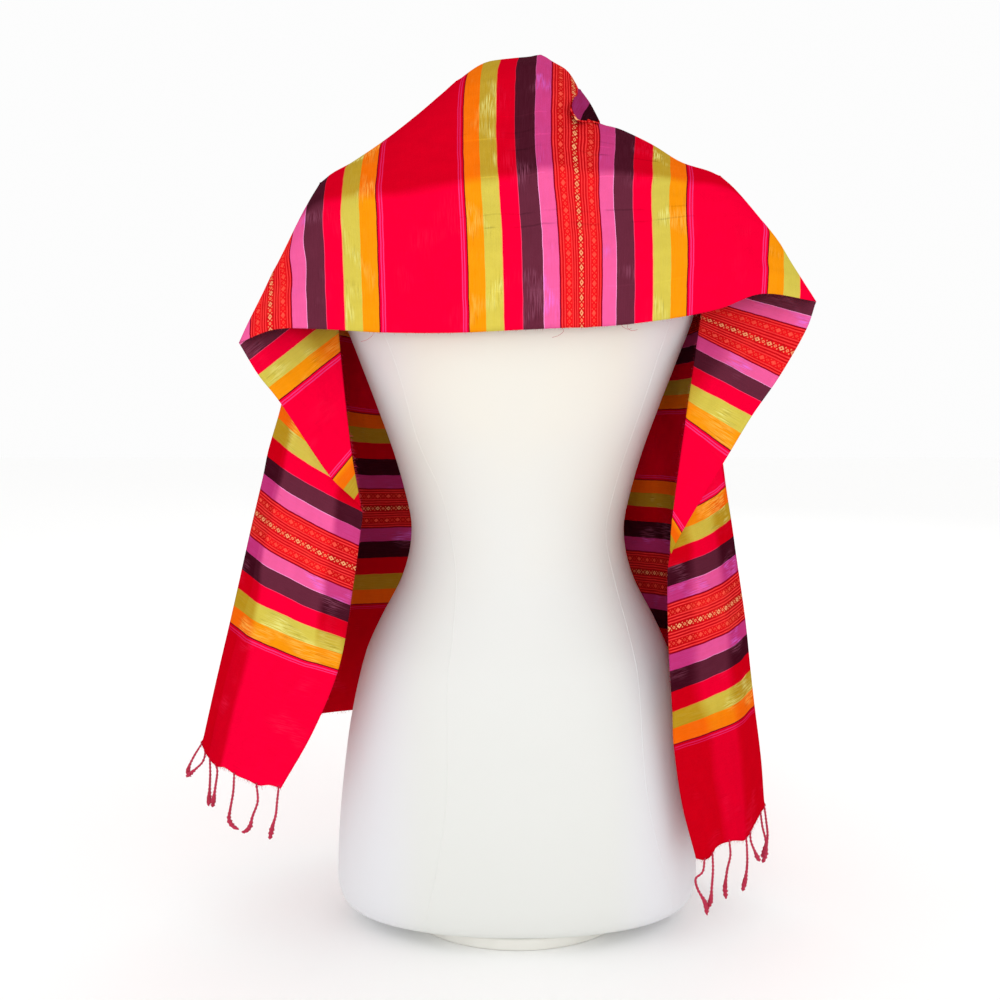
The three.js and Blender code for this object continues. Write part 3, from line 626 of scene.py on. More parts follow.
def larger(first, second):
    return calc("MAXIMUM", first, second)


def smaller(first, second):
    return calc("MINIMUM", first, second)


def pingpong(value, reach):
    return calc("PINGPONG", value, reach)


def sine(value):
    return calc("SINE", value)


def blend(share, first, second, kind="MIX"):
    """Mixes two colours."""
    tree = tree_of(share, first, second)
    node = tree.nodes.new("ShaderNodeMix")
    node.data_type = "RGBA"
    node.blend_type = kind
    feed(node.inputs["Factor"], share)
    feed(node.inputs["A"], first)
    feed(node.inputs["B"], second)
    return Signal(tree, node.outputs["Result"])


def new_group(name, inputs, colours="", numbers=""):
    """A node group with number inputs, and colours and numbers as its outputs."""
    group = bpy.data.node_groups.new(name, "ShaderNodeTree")
    kinds = ((inputs, "INPUT", "Float"), (colours, "OUTPUT", "Color"), (numbers, "OUTPUT", "Float"))
    for names, way, kind in kinds:
        for socket_name in names.split():
            group.interface.new_socket(socket_name, in_out=way, socket_type="NodeSocket" + kind)
    given = signals(group, group.nodes.new("NodeGroupInput").outputs)
    return group, given, group.nodes.new("NodeGroupOutput").inputs


def place_group(group, **values):
    tree = tree_of(*values.values())
    node = tree.nodes.new("ShaderNodeGroup")
    node.node_tree = group
    for name, value in values.items():
        feed(node.inputs[name], value)
    return signals(tree, node.outputs)


def ramp(share, stops, interpolation="CONSTANT"):
    """A colour ramp through (place, colour) stops."""
    tree = share.tree
    node = tree.nodes.new("ShaderNodeValToRGB")
    node.color_ramp.interpolation = interpolation
    elements = node.color_ramp.elements
    while len(elements) > 1:
        elements.remove(elements[-1])
    elements[0].position, elements[0].color = stops[0]
    for place, colour in stops[1:]:
        elements.new(place).color = colour
    feed(node.inputs["Fac"], share)
    return Signal(tree, node.outputs["Color"])


def noise(vector, scale, detail=2.0, roughness=0.5):
    tree = vector.tree
    node = tree.nodes.new("ShaderNodeTexNoise")
    node.inputs["Scale"].default_value = scale
    node.inputs["Detail"].default_value = detail
    node.inputs["Roughness"].default_value = roughness
    feed(node.inputs["Vector"], vector)
    return Signal(tree, node.outputs["Fac"])


def combine(x, y, z=0.0):
    tree = tree_of(x, y, z)
    node = tree.nodes.new("ShaderNodeCombineXYZ")
    for socket, value in zip(node.inputs, (x, y, z)):
        feed(socket, value)
    return Signal(tree, node.outputs[0])


def object_place(tree):
    return Signal(tree, tree.nodes.new("ShaderNodeTexCoord").outputs["Object"])


def add_bump(shader, height, strength, distance):
    """Bumps a material's surface by a height signal."""
    tree = height.tree
    bump = tree.nodes.new("ShaderNodeBump")
    bump.inputs["Strength"].default_value = strength
    bump.inputs["Distance"].default_value = distance
    feed(bump.inputs["Height"], height)
    tree.links.new(bump.outputs["Normal"], shader.inputs["Normal"])


print("shader helpers ready")

# %% Colours and stripe widths, in millimetres from the middle of a motif band
HALF_REPEAT = 157
END_FIELD_FROM = 746.5
BAND_EDGE = 22.0
RED = linear("#f20034")
CRIMSON = linear("#84051e")
PINK = linear("#ea5a96")
PALE_PINK = linear("#fb9ad0")
MAROON = linear("#622638")
ROSE = linear("#f0406c")
SALMON = linear("#f79a5c")
LIME = linear("#cebc4a")
ORANGE = linear("#f0900a")
MAGENTA = linear("#ea3478")
BAND_GROUND = linear("#e6141c")
STRIPES = [  # where each colour begins
    (0, BAND_GROUND), (BAND_EDGE, CRIMSON), (23.0, PINK), (37.8, PALE_PINK), (38.6, MAROON),
    (57.9, ROSE), (58.7, RED), (76.7, SALMON), (77.8, LIME), (95.3, ORANGE), (112.2, CRIMSON),
    (113.4, RED), (115.2, MAGENTA), (116.3, RED), (117.6, MAGENTA), (118.4, RED),
]
# Darker copies of the stripe colours, painted where the cloth lies in shade
PAINTED_SHADE_RED = linear("#c20014")
PAINTED_SHADE_BAND = linear("#b80a10")
PAINTED_SHADE_STRIPES = [
    (0, PAINTED_SHADE_BAND), (BAND_EDGE, CRIMSON), (23.0, linear("#b83070")), (38.6, linear("#3a0a18")),
    (57.9, PAINTED_SHADE_RED), (76.7, linear("#c8602c")), (77.8, linear("#b0881a")), (95.3, linear("#e86008")),
    (112.2, CRIMSON), (113.4, PAINTED_SHADE_RED), (115.2, linear("#cc1c50")), (116.3, PAINTED_SHADE_RED),
    (117.6, linear("#cc1c50")), (118.4, PAINTED_SHADE_RED),
]
# Lighter copies of the stripe colours, for highlights painted in streaks on the shiny stripes
PAINTED_HIGHLIGHT_STRIPES = [
    (0, linear("#ff5a40")), (BAND_EDGE, CRIMSON), (23.0, linear("#e07cf2")), (38.6, linear("#8c4a62")),
    (57.9, linear("#ff2c58")), (76.7, SALMON), (77.8, linear("#f0ee92")), (95.3, linear("#ffc45a")),
    (112.2, CRIMSON), (113.4, linear("#ff2c58")),
]
SATIN = [(0, 0.25), (BAND_EDGE, 1.0), (57.9, 0.25), (76.7, 1.0), (95.3, 0.8), (112.2, 0.2)]

stripes_group, given, wanted = new_group("stripes", "Station Width Dull", "Colour Glow", "Satin Aside")
# hand beating leaves each stripe's edge a little uneven
slow = combine(given["Station"] * 0.02, given["Width"] * 0.05)
wobble = (noise(slow, 1.0) - 0.5) * 1.4
station = given["Station"] + wobble
aside = pingpong(station, float(HALF_REPEAT))
share = aside / float(HALF_REPEAT)
field = abs(station) > END_FIELD_FROM
lit_colour = ramp(share, [(place / HALF_REPEAT, tint) for place, tint in STRIPES])
painted_shading = ramp(share, [(place / HALF_REPEAT, tint) for place, tint in PAINTED_SHADE_STRIPES])
painted_highlight = ramp(share, [(place / HALF_REPEAT, tint) for place, tint in PAINTED_HIGHLIGHT_STRIPES])
lit_colour = blend(field, lit_colour, RED)
painted_shading = blend(field, painted_shading, PAINTED_SHADE_RED)
feed(wanted["Glow"], blend(field, painted_highlight, linear("#ff2c58")))
satin = ramp(share, [(place / HALF_REPEAT, (v, v, v, 1)) for place, v in SATIN])
# painted shade: each stripe turns to its darker copy where the mask asks
feed(wanted["Colour"], blend(given["Dull"], lit_colour, painted_shading))
feed(wanted["Satin"], blend(field, satin, (0.4, 0.4, 0.4, 1)))
feed(wanted["Aside"], aside + field * 1000.0)
print("stripes in a repeat:", len(STRIPES))

# %% [markdown]
# ## The motif bands
# Each band is woven with a row of small pale diamonds down its middle, a row of coral ones on each side,
# and fine pin lines between. Such figures are common in hand weaving. They are charted here: a
# diamond is where the two distances from its middle, each over its half size, add up to less than one.

# %% Diamonds and pin lines
PIN_PITCH = 2.7
MOTIF_PITCH = 13.8
SIDE_ROW = 14.0
CORAL = linear("#f84040")
SIDE_CORAL = linear("#ff6450")
DARK_PIN = linear("#a00410")
MOTIF_GOLD = linear("#ffbe84")


def diamond(x, y, half_x, half_y):
    """1 inside a diamond, falling softly to 0 at its edge."""
    total = x / half_x + y / half_y
    return clamped((1.0 - total) * 5.0)


def clamped(value):
    return smaller(larger(value, 0.0), 1.0)


motif_group, given, wanted = new_group("motif_row", "Across Along Fullness", numbers="Shape Outline")
x = abs(given["Across"])
y = pingpong(given["Along"], MOTIF_PITCH / 2)
far_y = MOTIF_PITCH / 2 - y
heart = diamond(x, y, 0.9, 1.3) * (1.0 - given["Fullness"])
shape = diamond(x, y, 2.6, 3.6) - heart
small = diamond(x, far_y, 1.7, 2.2) - diamond(x, far_y, 0.7, 0.9)
wings = diamond(abs(x - 1.9), abs(y - 3.9), 0.9, 1.0)
fine = larger(small, wings) * 0.75
feed(wanted["Shape"], larger(clamped(shape), fine))
feed(wanted["Outline"], diamond(x, y, 4.6, 6.8))

band_group, given, wanted = new_group("motif_band", "Aside Width Dull", "Colour", "Raised")
swing = sine((given["Aside"] - 4.1) * (2 * math.pi / PIN_PITCH))
patchy = noise(combine(given["Aside"] * 0.3, given["Width"] * 0.12), 1.0, 3.0)
from_row = smaller(given["Aside"], abs(given["Aside"] - SIDE_ROW))
between_rows = clamped(from_row - 2.6)
light_pin = clamped(swing * 1.6) * between_rows
dark_pin = clamped(swing * -1.4) * between_rows
# painted shade: the band's ground turns darker in the same places
colour = blend(given["Dull"], BAND_GROUND, PAINTED_SHADE_BAND)
colour = blend(light_pin * (patchy + 0.25), colour, CORAL)
colour = blend(dark_pin * 0.6, colour, DARK_PIN)
middle = place_group(motif_group, Across=given["Aside"], Along=given["Width"], Fullness=0.0)
side = place_group(motif_group, Across=given["Aside"] - SIDE_ROW, Along=given["Width"] + 1.0, Fullness=1.0)
near_middle = given["Aside"] < 4.4
colour = blend(middle["Outline"] * (near_middle * 0.45), colour, DARK_PIN)
colour = blend(side["Shape"] * (patchy + 0.05), colour, SIDE_CORAL)
colour = blend(middle["Shape"] * (patchy + 0.18), colour, MOTIF_GOLD)
feed(wanted["Colour"], colour)
feed(wanted["Raised"], larger(middle["Shape"], light_pin * 0.6))
print("motifs along a band:", int(STRIP_WIDTH / MOTIF_PITCH))

# %% [markdown]
# ## Painted shade
# The stripes are woven with shiny yarn on a crimson warp. Where the cloth is turned away from the light, its
# colours
# are painted darker, as painted shade: above the drawer crease on the back, beside the fold and the two
# upright creases of each end, and on the layers in front. A group gives that painted shade as one mask, in
# the strip's own places.

# %% Where shade is painted on the cloth
DRAWER_CREASE = 150
UPPER_BACK_PAINTED_SHADE = 0.8
ENDS_BEGIN = (270.0, 330.0)  # distances along the strip over which each mask fades in
FOLD_BEGINS = (300.0, 330.0)
FOLD_FINISHES = (424.0, 430.0)
PANELS_BEGIN = (512.0, 524.0)
HEM_IS_NEAR = (690.0, 740.0)
SLANT_FROM = 640.0
PAINTED_SHADE_PANELS = [
    # side, first and last width of the lit panel, softness of its edges, painted shade in it and beside it,
    # slant, and change of painted shade on the inner side near the hem
    (-1, 31, 112, 5.0, 0.0, 0.85, 0.12, -1.0),
    (1, 38, 78, 15.0, 0.35, 1.0, 0.0, 0.6),
]


def soft_step(value, start, end):
    """0 before start, 1 after end, and smooth between."""
    tree = value.tree
    node = tree.nodes.new("ShaderNodeMapRange")
    node.interpolation_type = "SMOOTHSTEP"
    feed(node.inputs["Value"], value)
    node.inputs["From Min"].default_value = start
    node.inputs["From Max"].default_value = end
    return Signal(tree, node.outputs["Result"])


painted_shade_group, given, wanted = new_group("painted_shade", "Station Width", numbers="Dull")
length_share = abs(given["Station"])
drift = noise(combine(given["Station"] * 0.012, given["Width"] * 0.012), 1.0, 2.0)
drift = (drift - 0.5) * 16.0
width = given["Width"] + drift
on_ends = soft_step(length_share, *ENDS_BEGIN)
above_crease = soft_step(width + length_share * 0.1, DRAWER_CREASE - 3.0, DRAWER_CREASE + 12.0)
total = above_crease * (1.0 - on_ends) * UPPER_BACK_PAINTED_SHADE
near_hem = soft_step(length_share, *HEM_IS_NEAR)
by_fold = soft_step(width, 50.0, 75.0) * soft_step(length_share, *FOLD_BEGINS)
by_fold = by_fold * (1.0 - soft_step(length_share, *FOLD_FINISHES))
in_front = soft_step(width, 118.0, 128.0) * on_ends
total = total + larger(by_fold * 0.7, in_front * 0.7)
for hand, first, last, softness, least, shade_strength, slant, change in PAINTED_SHADE_PANELS:
    this_end = soft_step(given["Station"] * float(hand), *PANELS_BEGIN) * shade_strength
    lean = larger(length_share - SLANT_FROM, 0.0) * slant
    outer = soft_step(width + lean, last - softness, last + softness)
    inner = 1.0 - soft_step(width, first - softness, first + softness)
    inner = clamped(inner + near_hem * change)
    beside_panel = larger(larger(outer, inner), least)
    total = total + this_end * beside_panel
feed(wanted["Dull"], clamped(total))
print("lustre mask ready")

# %% [markdown]
# ## The weave
# Seen close, the cloth is a fine rib. Its thick yarns run across the strip, along each stripe, and the
# shiny stripes have long floats there, whose streaks of light are painted highlights and whose dark streaks
# are painted shade. A group gives a height map, a shade map of the weave's tone, a map of painted highlights
# and a map of painted dark streaks, so that every stripe uses the same weave with its own shine.

# %% Weave, painted highlights and painted dark streaks
weave_group, given, wanted = new_group("weave", "Station Width Satin", numbers="Height Shade Glint Scuff")


def strip_noise(station_scale, width_scale, detail=2.0, roughness=0.5):
    vector = combine(given["Station"] * station_scale, given["Width"] * width_scale)
    return noise(vector, 1.0, detail, roughness)


picks = strip_noise(1.3, 0.03, 3.0, 0.6)
floats = strip_noise(0.9, 0.07, 3.0, 0.6)
ends = strip_noise(0.03, 1.1, 2.0)
crinkle = strip_noise(0.05, 0.09, 3.0)
rumple = strip_noise(0.02, 0.016, 2.0)
rib = sine(given["Station"] * (2 * math.pi / 1.1))
plain = rib * 0.1 + picks * 0.7
shiny = floats + ends * 0.3
height = plain * (1.0 - given["Satin"]) + shiny * given["Satin"]
height = height + crinkle * 1.6
feed(wanted["Height"], height)
feed(wanted["Shade"], picks * 0.4 + crinkle * 0.6)
# painted highlights: patches and streaks where the shiny stripes are painted as lit
painted_highlight_patches = soft_step(rumple, 0.54, 0.66) + 0.06
streak = soft_step(strip_noise(1.0, 0.05, 2.0, 0.6), 0.42, 0.62)
feed(wanted["Glint"], painted_highlight_patches * streak * given["Satin"])
# painted shade: dark streaks on the shiny stripes, in patches like those of the painted highlights
painted_dark_streaks = soft_step(strip_noise(0.7, 0.03, 3.0, 0.7), 0.53, 0.66) * soft_step(rumple, 0.5, 0.6)
feed(wanted["Scuff"], painted_dark_streaks * given["Satin"])
print("weave maps:", [item.name for item in weave_group.interface.items_tree])

# %% [markdown]
# ## Drawer creases
# A few sharp lines cross the back, level with each other, where the cloth was folded flat. They are too
# fine for the mesh, so each is a narrow line in the height map, with a faint painted highlight where its
# strength is positive and a faint painted shade where it is negative.

# %% Fine crease lines
FINE_CREASES = [  # width and strength
    (213, 1.0), (196, -0.7), (189, 1.0), (178, -1.2), (148, 1.0), (111, -1.0), (98, -1.1), (36, 0.5),
]
crease_group, given, wanted = new_group("crease_lines", "Station Width", numbers="Line")
wave = noise(combine(given["Station"] * 0.02, 0.0), 1.0, 2.0)
broken = noise(combine(given["Station"] * 0.035, given["Width"] * 0.08), 1.0, 1.0)
width = given["Width"] + (wave - 0.5) * 8.0
total = 0.0
for place, strength in FINE_CREASES:
    near = abs(width - float(place))
    line = clamped(1.0 - near / 1.3)
    total = total + line * strength
on_back = abs(given["Station"]) < 120.0
shown = on_back * soft_step(broken, 0.42, 0.55)
feed(wanted["Line"], total * shown)
print("crease lines:", len(FINE_CREASES))

# %% The cloth's material


def new_material(name):
    material = bpy.data.materials.new(name)
    material.use_nodes = True
    return material, material.node_tree, material.node_tree.nodes["Principled BSDF"]


TUCK_SHADE = 0.4
woven, tree, shader = new_material("striped_weave")
uv_node = tree.nodes.new("ShaderNodeUVMap")
uv_node.uv_map = "strip"
parts = tree.nodes.new("ShaderNodeSeparateXYZ")
tree.links.new(uv_node.outputs["UV"], parts.inputs[0])
parts = signals(tree, parts.outputs)
station = parts["X"] * 1000.0
charted = parts["Y"] * 1000.0
in_tuck = charted > STRIP_WIDTH + 2.0
width = charted - in_tuck * float(STRIP_WIDTH)
# painted shade from the mask, and in full on the tuck wall
painted_shading = larger(place_group(painted_shade_group, Station=station, Width=width)["Dull"], in_tuck)
stripes = place_group(stripes_group, Station=station, Width=width, Dull=painted_shading)
band = place_group(band_group, Aside=stripes["Aside"], Width=width, Dull=painted_shading)
in_band = stripes["Aside"] < BAND_EDGE
colour = blend(in_band, stripes["Colour"], band["Colour"])
weave = place_group(weave_group, Station=station, Width=width, Satin=stripes["Satin"])
crease = place_group(crease_group, Station=station, Width=width)["Line"]
# the weave's tone, with the painted dark streaks taken off it
shade = weave["Shade"] * 0.3 + 0.85 - weave["Scuff"] * 0.3
# painted light along the fine crease lines: lighter on some, darker on others
crease_shade = crease * (stripes["Satin"] * 0.2 + 0.06)
shade = shade + crease_shade
# painted shade: the tuck wall is darkened further
shade = shade * (1.0 - in_tuck * TUCK_SHADE)
colour = blend(1.0, colour, combine(shade, shade, shade), "MULTIPLY")
# painted highlights: the lighter copies of the stripe colours, in streaks
colour = blend(weave["Glint"] * 0.6, colour, stripes["Glow"])
feed(shader.inputs["Base Color"], colour)
feed(shader.inputs["Roughness"], 0.6 - stripes["Satin"] * 0.24 - weave["Glint"] * 0.08)
feed(shader.inputs["Metallic"], stripes["Satin"] * 0.05)
shader.inputs["Specular IOR Level"].default_value = 0.0
shader.inputs["Specular Tint"].default_value = (0.3, 0.25, 0.25, 1)
raised = weave["Height"] + band["Raised"] * in_band * 0.8 + crease * 1.5
add_bump(shader, raised, 0.45, 0.0006)
scarf.data.materials.append(woven)
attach(scarf, "root")
CLOTH_NODES = ["scarf_back", "scarf_neck"] + [
    f"scarf_{part}_{side}" for part in ("flap", "tail", "front") for side in ("left", "right")
]
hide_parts(*CLOTH_NODES)
print("cloth replaces", len(CLOTH_NODES), "solids")

# %% [markdown]
# ## The fringe
# The warp ends are twisted in pairs into thin cords, thicker and looser towards the tip, and some have
# caught on each other. A cord could be one tube, but two plies that wind round each other catch the light
# as yarn does. Each cord is a short route below the hem, and its plies are tubes spun along it.

# %% Routes of the cords that are seen from behind, as (sideways, down) steps in millimetres
LEFT_CORDS = [  # share of the way along the hem from the outline fold, then the route
    (0.03, [(-11, 16), (-17, 31), (-14, 37)]),
    (0.10, [(0, 4), (-3, 13), (-9, 19), (-18, 27), (-21, 30)]),
    (0.24, [(0, 16), (-1, 33), (-3, 53)]),
    (0.36, [(2, 6), (-1, 25), (-5, 48)]),
    (0.61, [(-2, 20), (-6, 41), (-7, 50), (-3, 57), (3, 61)]),
    (0.81, [(1, 18), (-5, 35), (-8, 46), (-14, 52), (-17, 52)]),
    (0.985, [(-2, 15), (-4, 30), (-8, 43), (-11, 57)]),
]
RIGHT_CORDS = [
    (0.03, [(3, 18), (5, 34), (3, 48), (-1, 59)]),
    (0.12, [(3, 16), (7, 32), (7, 46), (4, 57)]),
    (0.36, [(0, 3), (1, 10), (6, 22), (11, 33)]),
    (0.43, [(1, 10), (2, 28), (1, 44), (-2, 60)]),
    (0.65, [(2, 16), (-1, 32), (-3, 52), (-2, 64)]),
    (0.83, [(1, 18), (0, 37), (-1, 52), (-5, 63)]),
    (0.91, [(-2, 13), (-9, 21), (-6, 34), (2, 49), (4, 62)]),
]
CORD_SPACING = 19
CORD_LENGTH = 58
CORD_RADIUS = 1.6
FRONT_CORDS_FROM = {"left": 0.52, "right": 0.13}  # the edge beside the outline fold is bare
PLY_SIDES = 6
THREAD_SIDES = 4
TWIST_PITCH = 8.0
print("cords seen from behind:", len(LEFT_CORDS) + len(RIGHT_CORDS))

# %% Spin the cords


def ply_tube(bm, centres, radii, sides):
    """A closed tube of rings round a run of points."""
    previous = None
    for k, (centre, radius) in enumerate(zip(centres, radii)):
        ahead = centres[min(k + 1, len(centres) - 1)] - centres[max(k - 1, 0)]
        turn = ahead.normalized().to_track_quat("Z", "Y").to_matrix().to_4x4()
        turn.translation = centre
        made = bmesh.ops.create_circle(bm, cap_ends=False, segments=sides, radius=radius, matrix=turn)
        ring = made["verts"]
        edges = list({e for v in ring for e in v.link_edges})
        if previous is None:
            bmesh.ops.edgeloop_fill(bm, edges=edges)
        else:
            bmesh.ops.bridge_loops(bm, edges=previous + edges)
        previous = edges
    bmesh.ops.edgeloop_fill(bm, edges=previous)


def spin_cord(bm, root, route, phase):
    """Two plies wound round a smooth route that hangs from the root."""
    hanging = [(dx, 1.5 * math.sin(phase + k), -dz) for k, (dx, dz) in enumerate(route)]
    stops = np.array([(0, 0, 2.0)] + hanging)
    marks = np.concatenate([[0], np.cumsum(np.linalg.norm(np.diff(stops, axis=0), axis=1))])
    steps = max(10, round(marks[-1] / 2.2))
    at = np.linspace(0, marks[-1], steps + 1)
    path = smooth_through(marks, stops, at)
    share = at / marks[-1]
    size = CORD_RADIUS * (0.75 + 0.35 * share + 0.75 * np.exp(-(((share - 0.84) / 0.13) ** 2)))
    size[-1] *= 0.35
    for ply in range(2):
        angle = 2 * math.pi * at / TWIST_PITCH + ply * math.pi + phase
        winding = np.stack([np.cos(angle) * size, np.sin(angle) * size, 0 * angle], axis=1)
        centres = path + winding * 0.55
        ply_tube(bm, [(root + Vector(c)) * MM for c in centres], size * 0.62 * MM, PLY_SIDES)


def hem_line(name):
    """The last row of a stretch, as points in millimetres."""
    points, stations, _ = stretches[name]
    return points[np.argmax(np.abs(stations))]


def along_line(line, share):
    steps = np.linalg.norm(np.diff(line, axis=0), axis=1)
    marks = np.concatenate([[0], np.cumsum(steps)]) / steps.sum()
    return Vector([np.interp(share, marks, line[:, axis]) for axis in range(3)])


def finish_mesh(bm, name, smooth=True):
    """Turns a bmesh into an object at the origin."""
    bmesh.ops.recalc_face_normals(bm, faces=bm.faces)
    for face in bm.faces:
        face.smooth = smooth
    mesh = bpy.data.meshes.new(name)
    bm.to_mesh(mesh)
    bm.free()
    piece = bpy.data.objects.new(name, mesh)
    scene.collection.objects.link(piece)
    return piece


fringes = []
for side, cords in (("left", LEFT_CORDS), ("right", RIGHT_CORDS)):
    bm = bmesh.new()
    line = hem_line("tail_" + side)[::-1]
    for k, (share, route) in enumerate(cords):
        spin_cord(bm, along_line(line, share), route, 1.9 * k)
    fringes.append(finish_mesh(bm, "fringe_tail_cords_" + side))
    bm = bmesh.new()
    line = hem_line("front_" + side)
    length = np.linalg.norm(np.diff(line, axis=0), axis=1).sum()
    start = FRONT_CORDS_FROM[side]
    count = round(length * (1 - start) / CORD_SPACING)
    for k in range(count):
        sway = 5 * math.sin(1.7 * k + len(cords))
        drop = CORD_LENGTH + 5 * math.sin(2.4 * k)
        route = [(0.3 * sway, 0.3 * drop), (sway * 0.4 + 2 * math.sin(3.1 * k), 0.65 * drop), (sway, drop)]
        spin_cord(bm, along_line(line, start + (1 - start) * (k + 0.5) / count), route, 2.3 * k)
    fringes.append(finish_mesh(bm, "fringe_front_cords_" + side))
print("fringe faces:", [len(f.data.polygons) for f in fringes])

# %% Yarn material of the fringe
yarn, tree, shader = new_material("fringe_yarn")
coords = object_place(tree)
fleck = noise(coords, 900.0, 2.0)
patch = noise(coords, 60.0, 2.0)
colour = blend(patch, linear("#a00a28"), linear("#c42c50"))
colour = blend(fleck * 0.3, colour, linear("#e07088"))
feed(shader.inputs["Base Color"], colour)
shader.inputs["Roughness"].default_value = 0.85
shader.inputs["Specular IOR Level"].default_value = 0.1
add_bump(shader, fleck, 0.4, 0.0003)
FRINGE_NODES = ["fringe_tail_left", "fringe_front_left", "fringe_tail_right", "fringe_front_right"]
for piece, node in zip(fringes, FRINGE_NODES):
    piece.data.materials.append(yarn)
    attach(piece, "root")
    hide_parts(node)
print("fringe dressed")

# %% [markdown]
# ## Frayed edges
# A hand-finished selvedge sheds short hairs, and a few threads have pulled loose below the back hem.
# Hundreds of hairs need few faces each, so a hair is a thin three-sided spike.

# %% Hairs and loose threads
HAIR_RADIUS = 0.11 * MM
THREAD_RADIUS = 0.16 * MM


def spike(bm, base, tip, radius):
    """A three-sided spike from base to tip."""
    ahead = tip - base
    turn = ahead.normalized().to_track_quat("Z", "Y").to_matrix().to_4x4()
    turn.translation = base + ahead / 2
    bmesh.ops.create_cone(
        bm, cap_ends=True, segments=3, radius1=radius, radius2=radius * 0.3, depth=ahead.length, matrix=turn
    )


def hair_along(bm, line, spacing, outward, reach):
    """Short hairs on an edge, leaning outward and sideways."""
    length = np.linalg.norm(np.diff(line, axis=0), axis=1).sum()
    for k in range(round(length / spacing)):
        base = along_line(line, random.random())
        lean = Vector((random.uniform(-0.7, 0.7), random.uniform(-0.5, 0.2), random.uniform(-0.5, 0.5)))
        tip = base + (Vector(outward) + lean) * random.uniform(0.4, 1.0) * reach
        spike(bm, base * MM, tip * MM, HAIR_RADIUS)


hair_bm = bmesh.new()
for side in ("left", "right"):
    hair_along(hair_bm, hem_line("tail_" + side), 1.1, (0, 0, -1), 4.0)
    hair_along(hair_bm, hem_line("front_" + side), 1.6, (0, 0, -1), 4.0)
    inward = 0.6 if side == "left" else -0.6
    hair_along(hair_bm, stretches["tail_" + side][0][:, 0], 3.0, (inward, -0.3, 0), 2.2)
    hair_along(hair_bm, stretches["front_" + side][0][:, -1], 4.0, (0, 0.5, 0), 2.0)
hair_along(hair_bm, stretches["back"][0][:, 0], 3.0, (0, -0.2, -1), 1.8)
WORN_ROWS = slice(60, 76)  # the left end's inner edge has worn thin where it meets the turned corner
hair_along(hair_bm, stretches["tail_left"][0][WORN_ROWS, 0], 0.7, (0.9, -0.5, 0), 3.5)
hairs = finish_mesh(hair_bm, "frayed_hairs", smooth=False)
hairs.data.materials.append(yarn)
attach(hairs, "root")

LOOSE_THREADS = [  # station on the back hem, then steps sideways, back and down in millimetres
    (-208, [(-1, -1, 3), (-6, -2, 7), (-12, -2, 9)]),
    (-22, [(2, -1, 3), (-3, -2, 7), (-9, -2, 9)]),
    (44, [(2, -1, 2), (7, -2, 4), (10, -2, 3)]),
    (52, [(-1, -1, 3), (3, -2, 6), (9, -2, 5)]),
]
thread_bm = bmesh.new()
for station, steps in LOOSE_THREADS:
    root = Vector(guide(BACK, "hem", np.array([float(station)]))[0])
    stops = np.array([(0, 0, 1)] + [(x, y, -z) for x, y, z in steps], dtype=float)
    path = smooth_through(np.arange(len(stops)), stops, np.linspace(0, len(stops) - 1, 12))
    ply_tube(thread_bm, [(root + Vector(p)) * MM for p in path], [THREAD_RADIUS] * len(path), THREAD_SIDES)
threads = finish_mesh(thread_bm, "loose_threads")
threads.data.materials.append(yarn)
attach(threads, "root")
print("hair faces:", len(hairs.data.polygons))

# %% [markdown]
# ## The dress form
# The form is padded and covered in pale jersey, cut in panels. Rings of a circle that is stretched to each
# level section give its shape, closely spaced and smoothly shaded so that the steps do not show. The two long
# seams over the back, and their fellows in front, are narrow welts that lie on the cover.

# %% Level sections of the form, in millimetres
FORM = {
    "level": [14.4, 19, 30, 50, 110, 168, 230, 297, 334, 376, 407, 438, 468, 516, 571, 617, 660, 710, 750,
              776, 794, 812, 828, 842, 858, 880, 896, 906, 911],
    "half_width": [176, 188, 196, 199, 196, 190, 181, 165, 149, 127, 117, 114, 119, 132, 151, 168, 183, 192,
                   196, 192, 174, 134, 92, 64, 51, 46, 42, 33, 20],
    "front": [98, 106, 111, 113, 114, 113, 109, 101, 94, 84, 79, 79, 84, 103, 124, 129, 120, 102, 82, 62, 46,
              40, 40, 42, 43, 42, 37, 29, 18],
    "back": [102, 112, 118, 121, 121, 118, 112, 101, 91, 79, 73, 71, 73, 82, 94, 103, 106, 102, 88, 68, 52,
             46, 46, 46, 45, 42, 38, 29, 15],
    "squareness": [2.2] * 8 + [2.1] * 6 + [2.2] * 2 + [2.3] * 3 + [2.2, 2.1] + [2.0] * 8,
}
FORM_SIDES = 96
FORM_RING_PITCH = 7.0


def form_point(level, turn, lift=0.0):
    """A point on the form's cover at a level, turned from +X towards the front."""
    level = np.array([float(level)])
    half = guide(FORM, "half_width", level, "level")[0] + lift
    reach = guide(FORM, "front" if math.sin(turn) > 0 else "back", level, "level")[0] + lift
    power = 2 / guide(FORM, "squareness", level, "level")[0]
    c, s = math.cos(turn), math.sin(turn)
    x = half * math.copysign(abs(c) ** power, c)
    y = reach * math.copysign(abs(s) ** power, s)
    return Vector((x, y, level[0]))


levels = [14.4, 15.5, 17, 19, 22, 26, 30, 36]
levels += list(np.arange(43, 905, FORM_RING_PITCH)) + [904, 906.5, 908.5, 910, 911]
form_bm = bmesh.new()
previous = None
for level in levels:
    ring = bmesh.ops.create_circle(form_bm, cap_ends=False, segments=FORM_SIDES, radius=1.0)["verts"]
    for vert in ring:
        vert.co = form_point(level, math.atan2(vert.co.y, vert.co.x)) * MM
    edges = list({e for v in ring for e in v.link_edges})
    if previous is None:
        bmesh.ops.edgeloop_fill(form_bm, edges=edges)
    else:
        bmesh.ops.bridge_loops(form_bm, edges=previous + edges)
    previous = edges
bmesh.ops.edgeloop_fill(form_bm, edges=previous)
form = finish_mesh(form_bm, "form_cover")
print("form cover faces:", len(form.data.polygons))

